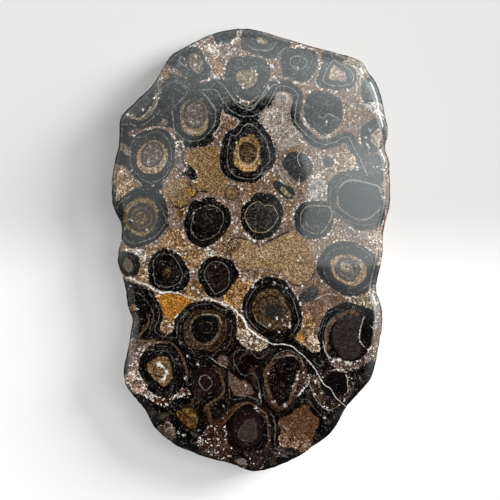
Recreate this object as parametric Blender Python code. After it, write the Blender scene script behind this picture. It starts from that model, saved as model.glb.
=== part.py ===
"""A polished slab of columnar stromatolite, lying on its sawn back with the polished face up.

The rock is one piece: a flat back, a lobed side that swells to the widest line at half height,
and a flat polished face that meets the side in a soft, hand-ground round. Metres, +Z up; the
origin is on the surface that the slab rests on, under the middle of its outline.
"""

import math

import bmesh
import bpy
from mathutils import Vector

MM = 0.001

THICKNESS = 26.0 * MM
WIDEST_HEIGHT = 13.0 * MM

# The outline at the widest line, anticlockwise seen from above, in millimetres.
OUTLINE_MM = [
    (-3.0, 110.4), (-9.5, 110.0), (-15.5, 108.8), (-21.0, 107.2), (-25.5, 105.0), (-30.5, 102.5),
    (-35.5, 100.0), (-39.0, 97.8), (-41.5, 95.0), (-43.2, 92.0), (-45.8, 87.5), (-48.0, 83.5),
    (-50.5, 80.5), (-55.5, 76.0), (-61.5, 70.2), (-64.2, 67.5), (-65.7, 64.5), (-65.6, 59.5),
    (-65.8, 55.0), (-66.5, 50.0), (-68.2, 43.0), (-69.3, 36.0), (-69.5, 30.0), (-69.2, 23.5),
    (-67.8, 19.0), (-65.5, 15.0), (-64.4, 10.5), (-65.0, 5.0), (-66.4, -2.5), (-66.2, -7.5),
    (-64.0, -13.5), (-62.5, -20.0), (-61.8, -26.5), (-60.5, -31.0), (-58.9, -35.0), (-60.0, -40.5),
    (-61.0, -47.5), (-63.0, -56.5), (-63.5, -62.5), (-62.0, -68.5), (-57.0, -74.8), (-53.0, -79.2),
    (-50.5, -84.5), (-47.5, -89.2), (-42.0, -94.2), (-35.0, -98.8), (-30.5, -100.2),
    (-25.5, -102.5), (-19.5, -104.2), (-12.5, -105.8), (-6.5, -107.8), (-2.0, -109.9),
    (2.5, -110.4), (9.5, -109.0), (19.5, -105.0), (25.0, -102.2), (31.0, -97.8), (38.0, -93.0),
    (42.0, -88.5), (45.0, -83.0), (47.5, -78.2), (54.5, -70.5), (59.5, -64.5), (61.8, -58.0),
    (63.5, -49.0), (65.0, -41.0), (65.6, -34.5), (64.8, -27.0), (62.4, -20.5), (63.2, -14.0),
    (64.9, -7.0), (65.8, 0.0), (65.8, 7.0), (67.2, 14.5), (69.0, 21.0), (69.5, 27.5),
    (69.2, 37.5), (68.8, 45.0), (66.5, 50.5), (68.0, 56.0), (68.5, 61.0), (67.0, 65.5),
    (66.2, 70.5), (65.0, 76.5), (62.5, 83.5), (60.0, 87.0), (57.5, 89.5), (56.5, 93.0),
    (53.5, 95.0), (47.0, 97.2), (40.0, 99.0), (32.0, 101.0), (22.0, 104.0), (12.0, 107.0),
    (3.5, 109.5),
]

# The side's section: how far the side lies inside the widest line as it nears the face and back.
TOP_ROUND_DROP = 8.0 * MM
TOP_ROUND_STEPS = 8
TOP_ROUND_POWER = 2.3
BACK_CHAMFER = 1.4 * MM
BACK_INSET = 2.4 * MM
BELLY_STEPS = 5

# The hand-ground round is wider at some places: (direction from the middle, degrees; width, mm).
ROUND_WIDTHS = [
    (-180, 4.6), (-150, 3.6), (-120, 4.4), (-90, 4.0), (-60, 4.8), (-30, 4.2),
    (0, 3.6), (25, 3.4), (45, 4.6), (60, 5.2), (90, 4.4), (120, 5.0), (150, 4.8), (180, 4.6),
]

# The columns lean as they run down through the rock, so the lobes drift a little towards the back.
LEAN_X = -1.0 * MM
LEAN_Y = 1.4 * MM

# Relief of the natural side below the widest line: upright flutes and long swells.
FLUTE_DEPTH = 0.6 * MM
FLUTE_COUNT = 23
SWELL_DEPTH = 0.7 * MM
SWELL_COUNT = 7
LEDGE_DEPTH = 0.5 * MM
LEDGE_HEIGHT = 5.0 * MM

# Pits where loose rock fell out of the side: (direction, degrees; height, radius, depth, mm).
PITS = [
    (-152, 6.0, 8.0, 1.5), (-118, 5.0, 6.5, 1.2), (-78, 6.5, 9.0, 1.4), (-35, 5.5, 7.0, 1.3),
    (14, 6.0, 8.5, 1.5), (71, 5.5, 8.0, 1.2), (118, 6.5, 9.0, 1.5), (163, 5.0, 7.0, 1.3),
]

SAMPLES_ROUND = 220
NORMAL_REACH = 3


def clear_scene():
    for obj in list(bpy.data.objects):
        bpy.data.objects.remove(obj)


def spline_point(a, b, c, d, t):
    """A point between b and c on the Catmull-Rom curve through a, b, c and d."""
    return 0.5 * (
        2 * b
        + (c - a) * t
        + (2 * a - 5 * b + 4 * c - d) * t * t
        + (3 * b - a - 3 * c + d) * t ** 3
    )


def even_outline(corners, count, steps_each=12):
    """The closed curve through the corners, as count points at equal distances along it."""
    fine = []
    for i in range(len(corners)):
        a, b, c, d = (corners[(i + k) % len(corners)] for k in (-1, 0, 1, 2))
        fine += [spline_point(a, b, c, d, step / steps_each) for step in range(steps_each)]
    lengths = [0.0]
    for i, point in enumerate(fine):
        lengths.append(lengths[-1] + (fine[(i + 1) % len(fine)] - point).length)
    points, i = [], 0
    for n in range(count):
        target = lengths[-1] * n / count
        while lengths[i + 1] < target:
            i += 1
        share = (target - lengths[i]) / (lengths[i + 1] - lengths[i])
        points.append(fine[i].lerp(fine[(i + 1) % len(fine)], share))
    return points


def inward_normals(points):
    """The direction into the slab at each point of an anticlockwise outline, evened along it."""
    count = len(points)
    normals = []
    for i in range(count):
        along = points[(i + NORMAL_REACH) % count] - points[i - NORMAL_REACH]
        normals.append(Vector((-along.y, along.x)).normalized())
    return normals


def side_section():
    """(height, back inset, share of the round's width) of each ring, from the back to the face."""
    rings = [(0.0, BACK_INSET + BACK_CHAMFER, 0.0), (BACK_CHAMFER, BACK_INSET, 0.0)]
    for step in range(1, BELLY_STEPS + 1):
        share = step / BELLY_STEPS
        height = BACK_CHAMFER + (WIDEST_HEIGHT - BACK_CHAMFER) * share
        rings.append((height, BACK_INSET * (1 - share) ** 2, 0.0))
    round_start = THICKNESS - TOP_ROUND_DROP
    rings.append(((WIDEST_HEIGHT + round_start) / 2, 0.0, 0.0))
    for step in range(TOP_ROUND_STEPS + 1):
        angle = math.pi / 2 * step / TOP_ROUND_STEPS
        drop = TOP_ROUND_DROP * (1 - math.sin(angle) ** (2 / TOP_ROUND_POWER))
        rings.append((THICKNESS - drop, 0.0, 1 - math.cos(angle) ** (2 / TOP_ROUND_POWER)))
    return rings


def round_width(direction):
    """The width of the round at a direction in degrees, eased between the stated ones."""
    for (start, low), (end, high) in zip(ROUND_WIDTHS, ROUND_WIDTHS[1:]):
        if direction <= end:
            share = (direction - start) / (end - start)
            eased = share * share * (3 - 2 * share)
            return (low + (high - low) * eased) * MM
    return ROUND_WIDTHS[-1][1] * MM


def side_relief(point, turn, height):
    """How far flutes, swells, the ledge and pits push the side in at a place of the lower side."""
    flutes = 0.5 + 0.5 * math.sin(FLUTE_COUNT * turn + 1.7 * math.sin(3 * turn) + 90 * height)
    swells = 0.5 + 0.5 * math.sin(SWELL_COUNT * turn + 0.8 + 60 * height)
    ledge = 1 / (1 + math.exp((height - LEDGE_HEIGHT) / (0.6 * MM) + 3 * math.sin(5 * turn)))
    relief = FLUTE_DEPTH * flutes ** 2 + SWELL_DEPTH * swells + LEDGE_DEPTH * ledge
    for direction, pit_height, radius, depth in PITS:
        angle = math.radians(direction)
        along = point.length * abs(math.remainder(math.atan2(point.y, point.x) - angle, math.tau))
        away = math.hypot(along, 1.6 * (height - pit_height * MM)) / (radius * MM)
        relief += depth * MM * math.exp(-(away ** 2) * 2.5)
    return relief


def ring_points(outline, normals, height, back_inset, round_share):
    depth = 1 - min(1.0, height / WIDEST_HEIGHT)
    lean = Vector((LEAN_X, LEAN_Y)) * depth
    points = []
    for i, (point, normal) in enumerate(zip(outline, normals)):
        turn = math.tau * i / len(outline)
        width = round_width(math.degrees(math.atan2(point.y, point.x)))
        relief = side_relief(point, turn, height) * min(1.0, 2.5 * depth)
        place = point + lean + normal * (back_inset + round_share * width + relief)
        points.append(Vector((place.x, place.y, height)))
    return points


def stone_material():
    material = bpy.data.materials.new("polished_stromatolite")
    material.use_nodes = True
    shader = material.node_tree.nodes["Principled BSDF"]
    shader.inputs["Base Color"].default_value = (0.07, 0.05, 0.035, 1.0)
    shader.inputs["Roughness"].default_value = 0.12
    shader.inputs["Metallic"].default_value = 0.0
    return material


def build_slab():
    corners = [Vector(point) * MM for point in OUTLINE_MM]
    outline = even_outline(corners, SAMPLES_ROUND)
    middle_x = (max(p.x for p in outline) + min(p.x for p in outline)) / 2
    middle_y = (max(p.y for p in outline) + min(p.y for p in outline)) / 2
    outline = [point - Vector((middle_x, middle_y)) for point in outline]
    normals = inward_normals(outline)

    mesh = bmesh.new()
    rings = []
    for section in side_section():
        rings.append([mesh.verts.new(p) for p in ring_points(outline, normals, *section)])
    for lower, upper in zip(rings, rings[1:]):
        for i in range(SAMPLES_ROUND):
            j = (i + 1) % SAMPLES_ROUND
            mesh.faces.new((lower[i], lower[j], upper[j], upper[i]))
    mesh.faces.new(reversed(rings[0]))
    mesh.faces.new(rings[-1])
    bmesh.ops.recalc_face_normals(mesh, faces=mesh.faces)

    data = bpy.data.meshes.new("stromatolite_slab")
    mesh.to_mesh(data)
    mesh.free()
    data.shade_smooth()
    data.set_sharp_from_angle(angle=math.radians(35))
    data.materials.append(stone_material())
    slab = bpy.data.objects.new("stromatolite_slab", data)
    bpy.context.scene.collection.objects.link(slab)
    return slab


clear_scene()
build_slab()
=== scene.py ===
import bpy
import math
import numpy as np
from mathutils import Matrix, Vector, geometry
from types import SimpleNamespace


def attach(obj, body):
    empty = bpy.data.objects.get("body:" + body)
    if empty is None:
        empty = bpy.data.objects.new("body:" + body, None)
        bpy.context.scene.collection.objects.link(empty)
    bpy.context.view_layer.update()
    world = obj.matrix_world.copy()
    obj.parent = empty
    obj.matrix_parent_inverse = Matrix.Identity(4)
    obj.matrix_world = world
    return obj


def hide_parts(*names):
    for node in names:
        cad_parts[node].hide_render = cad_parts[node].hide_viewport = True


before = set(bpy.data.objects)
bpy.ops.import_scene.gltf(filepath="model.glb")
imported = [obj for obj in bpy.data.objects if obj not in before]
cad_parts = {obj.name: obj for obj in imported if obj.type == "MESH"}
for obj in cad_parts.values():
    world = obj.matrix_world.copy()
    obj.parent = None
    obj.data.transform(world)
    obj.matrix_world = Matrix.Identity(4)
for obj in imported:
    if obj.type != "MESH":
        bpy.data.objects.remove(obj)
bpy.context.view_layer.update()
mm = 0.001

slab = {
    "node": "stromatolite_slab",
    "slot": "polished_stromatolite",
    "thickness": 26,  # mm
    "widest": 13,  # mm, height of the widest line
    "angles": 720,  # points round the edge
    "rowsPerRing": 3,
    "edgeSmooth": 1.2,  # mm along the edge
    "faceStep": 0.8,  # mm between face points
    "backStep": 1.5,
    "faceDrop": 0.002,  # mm, keeps the face inside the solid
    "faceWave": {"height": 0.004, "size": 42, "seed": 3, "most": 3},  # mm, polish wave
    "sawMarks": {"height": 0.05, "size": 6, "seed": 4},  # mm, on the back
    "sideRelief": 0.22,  # mm, natural skin
    "sideWaves": [(5, 5.0, 0.5), (9, 1.8, 0.3)],  # seed, size mm, share
    "reliefTop": 24.5,  # mm, no relief above
    "reliefFade": 6,  # mm below that over which it grows
    "reliefFoot": 2,  # mm above the back over which it grows
    "pits": {
        "count": 260,
        "seed": 8,
        "size": (0.9, 2.6),  # mm
        "depth": 0.5,
        "level": (0.4, 1),  # share of the depth
        "heights": (2, 21),
        "flat": 1.3,  # wider than high by this
    },
    "polished": (16, 20),  # mm, heights between which the side turns to polish
    "faceGrow": 1.0082,  # pattern size at the face against the widest line
    "lean": (2.2, -1.4),  # mm the columns lean from the widest line to the back
    "columnDrift": {"by": 1.2, "size": 22, "seeds": (21, 22), "upwards": 0.4},  # mm
}

pattern = {
    "toneLight": 1.4,  # tones are given as seen in the light of the studio, which lifts them by this
    "reach": 7.0,  # mm, a field is level further off
    "lineReach": 4,  # mm round a line that know its distance
    "lineFar": 9.0,  # mm, the distance elsewhere
    "lineGap": 3.6,  # mm between lines that share a channel
    "lineEnd": (0.6, 0.15),  # mm over which the ends thin out, share left at the tip
    "lineCut": 2.6,  # mm away where the width falls to nothing
    "veinReach": 3,
    "spotSize": 0.9,
    # contrast of the grains in a core falls from 1.6 to 0.9 as its tone gets lighter, but for the even ones
    "coreContrast": ((90, 270), (1.6, 0.9)),
    "evenCores": {"slateBlue": 0.4, "maroon": 0.7, "greenGrey": 0.5, "ashBrown": 0.6, "ringDark": 0.7,
        "blackCore": 1.0, "coreGrey": 0.35, "pepper": 0.8, "umber": 1.0},
    "bandContrast": (1.25, 0.8),  # brown bands, golden bands
}

# outlines and paths are points in mm, x to the right and y up on the face
paths = {  # those used twice
    "arch": [(-25, 80), (-19, 80.3), (-16.5, 79), (-15, 76), (-11, 70.5), (-8, 68.5), (-5, 67), (1, 67),
        (5, 69), (8, 72), (13, 81), (16, 82), (19, 81.3), (22, 79.5), (23.3, 77.5), (23.2, 74), (22.3, 70.5),
        (22, 66)],
    "bend": [(22, 70), (22, 66), (23, 63), (29, 56.5), (32.5, 54), (36, 52.8), (39.5, 53.2), (43, 54.5),
        (45.5, 56), (48, 56.5), (49.5, 55.5), (52, 50), (54.5, 46), (58, 37.5)],
    "hookLine": [(-33, 50), (-34.3, 47.5), (-34.5, 44.5), (-32.5, 41.5)],
    "ochreLine": [(-29.5, 26), (-27, 29), (-25, 29.5), (-22, 29)],
    "ochreLow": [(-10, -2.5), (-12, 1), (-11.5, 3), (-10, 5.2), (-7.5, 6), (-4.5, 5.8), (-2.5, 5)],
    "ochreRight": [(8, 4), (15, 7.5), (18, 8.8), (19.5, 9)],
    "ochreBase": [(19, -15.7), (21, -17), (24, -17.8), (27, -16.5), (30, -14.5), (31.3, -11.5)],
    "ochreTop": [(-39, 22.5), (-36, 20.7), (-32, 22.3)],
    "oliveCore": [(40, -5), (42.5, -3), (46, -2), (50, -2.2), (54, -4), (57, -6.5), (58.3, -9.5),
        (57.5, -13.5), (55, -16.5), (51.5, -17.8), (47, -17.3), (43, -15), (40.5, -11.5), (39.6, -8)],
    "ashCore": [(42, -7), (44.5, -4.3), (48, -3.7), (52, -4.8), (54.5, -7.5), (54.8, -11), (53, -13.5),
        (50.5, -15.5), (47, -14.8), (44, -12.5), (42, -9.8)],
    "umberCore": [(8, -19.5), (11.5, -19), (14, -20.5), (16.5, -23.5), (19, -28), (20, -32), (20, -37),
        (18.5, -40), (17, -39.5), (13, -40.5), (10.5, -40), (5, -37), (2.5, -34.5), (0.8, -31), (0.5, -27.5),
        (2, -24), (4.5, -21)],
    "lowUmberCore": [(-33.3, -40), (-33.3, -37), (-29.5, -32), (-27, -30.5), (-19, -30.5), (-15, -32),
        (-12.8, -34), (-12.3, -37.5), (-12.5, -41), (-13.5, -44.5), (-16, -48), (-19.5, -50.5), (-23, -49.5),
        (-27, -49.5), (-30, -48.5), (-32.5, -46), (-33.3, -43)],
    "darkCore": [(-17.5, -5.8), (-14.5, -6.2), (-12.5, -8), (-11.2, -10), (-10.8, -13), (-11, -16),
        (-12, -18.5), (-15, -21), (-18, -21.8), (-20.5, -18.5), (-23.3, -13.5), (-23.3, -11), (-22, -8.5),
        (-20, -6.5)],
    "greyUmberCore": [(-55, 22.8), (-51, 21.8), (-49, 19.5), (-48.5, 15.5), (-50, 12), (-53.5, 10),
        (-57.5, 10.2), (-60.5, 13), (-61, 17), (-59.5, 20.5)],
    "greyCore": [(-49.5, 53.5), (-46, 52.5), (-44.5, 49.5), (-44.8, 46), (-47.5, 43), (-50.5, 42),
        (-53.5, 43), (-54.5, 46), (-53.5, 50), (-51.5, 52.5)],
    "greyCoreTop": [(-33, 69), (-32.8, 65), (-31.5, 62.5), (-28.5, 61.3), (-25.5, 62), (-23.5, 65),
        (-23.2, 69), (-24.5, 72), (-28, 74), (-31.5, 72.8)],
    "warmCore": [(-2, 53.3), (0.5, 52.3), (2.3, 49.5), (2, 46.5), (0.3, 44.7), (-2, 44.2), (-4.5, 45.5),
        (-5.5, 48.5), (-5, 51.5), (-3.5, 53)],
}
pattern["columns"] = [
    [(-42.5, 94.5), (-38.5, 98.5), (-33.5, 101), (-28, 101.5), (-24.3, 99), (-22.5, 95), (-19.8, 90.5),
        (-20.5, 87), (-24, 85), (-29, 84.2), (-33, 86.5), (-37, 90.5), (-41, 92.3)],
    [(-19.5, 107.5), (-14, 109.3), (-8, 110.3), (-7, 108.5), (-8.8, 105), (-10.5, 103.5), (-17.5, 103.2),
        (-18.3, 105.5)],
    [(-3.8, 110.5), (2, 110), (14, 105.5), (19.5, 104), (19, 101.5), (14, 97), (12, 96), (7, 95.8), (4, 97.5),
        (1, 98), (-3, 100), (-5, 101.5)],
    [(-10, 96), (-4, 97), (0, 97), (5, 95.8), (8, 94), (9.5, 91), (9.5, 87), (8, 83.5), (3, 77), (0, 74.5),
        (-3, 75), (-6, 76.5), (-9, 78.5), (-11.5, 81.5), (-13, 85), (-13.3, 89), (-12, 93)],
    [(16.5, 99.5), (14.5, 96), (16, 88), (18, 86.5), (24, 84), (28, 84.7), (30.5, 87), (33, 90.5), (33.5, 95),
        (32.5, 98.5), (29.5, 100.5), (21, 101), (18, 100.5)],
    [(35.5, 98.5), (40, 99), (50, 92.5), (52.5, 88), (52.5, 84), (50.5, 81.3), (46, 80), (39, 80.2),
        (34.5, 81.5), (33, 84.5), (34, 89), (35.5, 93)],
    [(56.5, 87), (59.5, 88.3), (62, 85), (65.5, 75), (64, 72.5), (58, 72.5), (55.5, 75), (55, 80)],
    [(31, 79.5), (36, 79.5), (40, 78), (43.5, 76), (45.5, 73), (46, 69), (45.3, 65), (43.5, 61.5), (38.5, 57),
        (35.5, 57.5), (32.5, 59.5), (29.5, 62), (27, 66), (26.5, 70.5), (27, 74.5), (28.5, 77.5)],
    [(36, 44.5), (37.5, 46), (40, 46), (41.5, 44.5), (41, 42.5), (39, 41.3), (36.8, 42)],
    [(17, 46), (19, 48.5), (22, 49.3), (25.5, 48.5), (28.5, 46.5), (30.5, 43), (30.8, 40), (29, 37),
        (26.5, 34.5), (24, 33.7), (20, 36.5), (16, 41.5), (15.5, 44)],
    [(54.8, 60), (56.5, 62.5), (60, 65), (63, 66.5), (65.5, 65), (67.5, 62), (67.5, 58), (64.5, 50.5),
        (62, 49), (60, 48.5), (58, 49), (56, 51), (55, 55)],
    [(60, 48), (63, 48), (65.5, 46.5), (67, 44), (66.5, 41.5), (64, 40.5), (61.5, 41), (60, 43), (59.5, 46)],
    [(38.5, 33), (41, 36.5), (45, 39), (50, 40.3), (55, 40), (60, 38.5), (64, 34), (66.5, 29), (67.5, 22),
        (66.5, 17), (65, 13), (63, 11), (55, 9.8), (51.5, 10.7), (45.5, 14.7), (42.5, 16), (40, 19),
        (38.5, 23), (38, 28)],
    [(21.5, 16), (22.3, 19.5), (25, 23), (28.5, 24.5), (33, 24.8), (37.5, 24.3), (40, 21.5), (41.5, 17.5),
        (40.5, 11), (38.5, 8.5), (36, 6.3), (32.5, 5.5), (28.5, 5.2), (25.5, 7), (23, 9.5), (21.8, 12.5)],
    [(33, -8), (33.5, -4.5), (38, 1.5), (41.5, 3.5), (46, 4.3), (51, 4), (55.5, 2), (59.5, -0.5),
        (62.5, -4.5), (64, -8), (64, -12), (62.5, -17), (58, -21), (55, -22.5), (50, -23), (45, -22),
        (37, -16.5), (34.5, -13.5), (32.8, -10.5)],
    [(-1, 24.5), (0.5, 27), (3, 28.5), (7, 28.5), (10.5, 28), (13, 26), (15, 23.5), (16, 20), (16, 17),
        (15, 13.5), (13.5, 10.5), (11.5, 8), (9.5, 6.5), (7, 5.3), (4.5, 4.7), (2, 5), (0, 6.5), (-4, 11),
        (-5, 14), (-5.3, 18), (-4.5, 21.5)],
    [(11, 34), (13.5, 34.5), (19, 32), (22, 29), (21.5, 26.5), (19.5, 25.7), (16.5, 26.5), (13.5, 29),
        (11.5, 31.5)],
    [(0.5, -18.5), (3, -15.5), (6, -13.8), (9, -13.3), (16, -15), (18.5, -17.5), (23, -24), (24.5, -27),
        (26, -35), (25.5, -38), (21, -45), (17, -46.3), (12, -46.3), (8.5, -44.5), (1, -39.5), (-1.5, -37),
        (-3.5, -33), (-4.5, -29.5), (-4.3, -25.5), (-3, -22), (-1, -19.5)],
    [(33.5, -41), (34.5, -37), (36, -33.5), (38, -30.5), (41, -28.5), (44.5, -27), (48.5, -26), (60, -29.5),
        (63, -31.5), (62.5, -34), (61, -37), (61, -46), (59, -50), (56, -54), (50, -56), (43, -55), (39, -57),
        (35, -56), (33.5, -52), (33, -48), (33, -44)],
    [(-33, -28.5), (-30, -26.5), (-21, -25.5), (-15, -27.5), (-10, -30), (-8, -31.5), (-7, -38), (-8, -44),
        (-12, -50), (-20, -52), (-30, -50), (-37, -44), (-38.5, -38), (-38.5, -35)],
    [(-18.5, -3), (-12, -4.3), (-9.5, -5.5), (-6.5, -10), (-6, -12), (-7, -15), (-11, -21), (-15, -23.5),
        (-18.5, -24), (-22, -22.5), (-25, -18.5), (-26, -16), (-26.5, -13), (-26, -9.5), (-24, -6.5),
        (-21.5, -4)],
    [(-44, 1), (-41, 0.5), (-38, -1), (-35, -3.5), (-31, -10), (-30.5, -14), (-32, -18), (-35, -20.5),
        (-39, -21), (-44, -20.5), (-48, -19), (-50.5, -17), (-51.7, -13), (-51.7, -9), (-50.5, -5),
        (-48, -1.5)],
    [(-30.5, 23), (-28, 25), (-25.5, 25), (-21.5, 27), (-19, 26.5), (-17.5, 25), (-12, 21.5), (-10.7, 19),
        (-10, 16), (-10.5, 12.5), (-14.5, 6.5), (-20, 2.5), (-23, 1.3), (-25.5, 1.5), (-31, 5), (-33.5, 12),
        (-33.3, 15.5)],
    [(-66, 25.5), (-57, 30.5), (-52, 31.5), (-48.5, 31), (-45, 28.5), (-43, 25), (-40.5, 15), (-40.5, 12.5),
        (-43, 10), (-45, 7), (-48, 4.5), (-53, 2), (-58, 1), (-62, 1.5), (-64.5, 4.5), (-65, 8), (-64.5, 12),
        (-65.5, 15), (-68, 19), (-69, 22)],
    [(-38.5, 55), (-37.8, 50), (-38, 45), (-39, 41), (-41.5, 37), (-45, 34), (-48.5, 32.3), (-53, 32.5),
        (-54.5, 33), (-57, 35), (-59.5, 38), (-61.5, 47), (-60, 52), (-60, 55), (-57, 58), (-52, 60),
        (-47, 61), (-42, 59.5)],
    [(-14.5, 68), (-14, 65), (-15, 61), (-17, 57), (-20, 53.5), (-24, 51.5), (-30, 51.5), (-33.5, 52.5),
        (-36, 55.5), (-38, 60), (-38.5, 66), (-38, 70), (-35, 80), (-25, 80), (-18, 76), (-15.5, 71)],
    [(-6, 63.5), (-8, 61), (-13, 58), (-15.7, 47), (-15.5, 43), (-14.5, 39.5), (-12.5, 36.5), (-6.5, 33.8),
        (-3, 33.8), (0, 33), (3, 34.3), (9.5, 40), (12, 43.5), (12.5, 47.5), (10.5, 55.5), (9, 58.5),
        (2.5, 65.5), (-1, 66)],
    [(-51, -48), (-47, -46.8), (-43, -47), (-37, -50.5), (-35, -53), (-34, -58), (-34, -63), (-35, -67.5),
        (-37, -70.5), (-42, -73.5), (-45, -74), (-48, -72), (-51, -69), (-55.5, -62), (-56, -58), (-55, -53)],
    [(-9, -82), (-7, -79.5), (-4, -78.2), (0, -78), (3, -80), (5.5, -82.5), (7, -86), (7.5, -91), (7, -96),
        (5, -98.8), (1, -100.5), (-4, -100.3), (-8, -98.5), (-11, -95), (-11.5, -90), (-10.5, -85.5)],
    [(-19.8, -79.7), (-17.7, -78), (-14.8, -77.2), (-12.3, -78.5), (-11.7, -81), (-12.7, -83.9),
        (-14.8, -85.5), (-17.7, -85.1), (-19.4, -83)],
    [(10.5, -60.7), (13, -56), (16, -54.5), (20, -54), (23.5, -55.5), (24.6, -58.2), (23.8, -61.9),
        (20.4, -69.4), (19.2, -73.5), (17.1, -76.4), (14.6, -77.7), (12.1, -74.8), (10.4, -70.6),
        (10, -66.5)],
    [(36.8, -65.2), (42.2, -61.7), (44.7, -61.9), (46.8, -64.4), (47.6, -67.3), (47.2, -69.8), (45.5, -72.3),
        (43.5, -73.5)],
    [(36, -69), (39, -70.5), (41, -73), (41.5, -75), (38, -74.5), (36, -72.5)],
    [(-66.5, -2), (-64, -0.8), (-61, -0.7), (-58, -2), (-56, -4), (-55.5, -8), (-56, -11.5), (-58, -13),
        (-61, -13.3), (-63.5, -12.5), (-65.5, -9.5), (-66.7, -5.5)],
    [(-57, -24), (-55, -23.5), (-53, -26), (-52, -29), (-53, -33), (-53, -37), (-54.5, -40.5), (-57, -42.5),
        (-59, -43), (-60, -41), (-57.5, -38.5), (-56, -35), (-56.2, -31), (-57, -27.5)],
    [(-11, -104), (-8, -102.5), (-4, -102.5), (-1, -104), (1, -106), (1, -108.5)],
    [(-35.6, 37.6), (-33, 39.2), (-31.6, 41.6), (-33.4, 47.4), (-32.4, 48), (-29.6, 42), (-27.8, 39.6),
        (-27, 37), (-27.8, 35.4), (-29.8, 35), (-31.6, 36.6)],
    [(-69, 33.5), (-67, 34), (-65.5, 32), (-66, 29), (-68, 29.5)],
]
pattern["dark"] = [
    # painted shade: this first region darkens the lower left rim, where the rounded edge looks dark
    [(-70, -47), (-62.4, -46), (-61.4, -52), (-61.2, -58), (-62.4, -62), (-66, -63.5), (-70, -64)],
    [(-71, 66), (-49, 83), (-44, 86.5), (-40, 88.5), (-26, 84), (-18, 85), (-13.5, 84), (-12, 78), (-12, 72),
        (-14, 70), (-17, 64), (-20, 54), (-30, 51), (-36, 53), (-38, 57), (-37.5, 60), (-47, 62), (-53, 61),
        (-58, 58), (-62, 54), (-68, 54)],
    [(-70, 60), (-61, 60), (-59, 55), (-60, 44), (-59, 37), (-63, 42), (-67, 43), (-70, 46)],
    [(-70, 33), (-66, 27), (-60, 31), (-54, 33.5), (-47, 34), (-44, 33), (-46, 30), (-56, 29), (-66, 22),
        (-71, 24)],
    [(-64, -16), (-56, -17.5), (-50, -20), (-47.5, -23), (-44, -32), (-45.3, -40), (-43, -41.7), (-40, -41.7),
        (-38, -38), (-35, -50), (-40, -46.5), (-62, -43.5), (-62, -30)],
    [(-70, -76), (-58, -72), (-52, -69), (-51, -49), (-44, -46.5), (-38, -45.5), (-30, -49), (-22, -50),
        (-12, -48), (-8, -42), (-5, -47), (-1, -49.5), (4, -50.5), (8, -48), (26, -45), (30, -50.5),
        (34, -51.5), (42, -56), (50, -57), (58, -53), (62, -56), (70, -60), (60, -85), (30, -104), (0, -114),
        (-30, -106), (-55, -92)],
    [(55, 47), (61, 36), (66, 34), (66, 40), (61.5, 41.5), (60, 44), (58, 50), (56, 52), (54, 52)],
    [(9, -41), (16, -45), (22, -44), (26, -48), (24, -52), (10, -50)],
]
pattern["strokes"] = [  # half width, mm
    (2.7, paths["arch"]),
    (2.3, [(-16, 84), (-14, 82.5), (-6, 72), (-3, 70.8), (1, 71), (10, 81.5), (13, 83)]),
    (2.5, paths["bend"]),
    (0.5, paths["hookLine"]),
    (0.45, paths["ochreLine"]),
    (0.4, paths["ochreLow"]),
    (0.35, paths["ochreRight"]),
    (0.35, paths["ochreBase"]),
    (0.5, paths["ochreTop"]),
]
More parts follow.
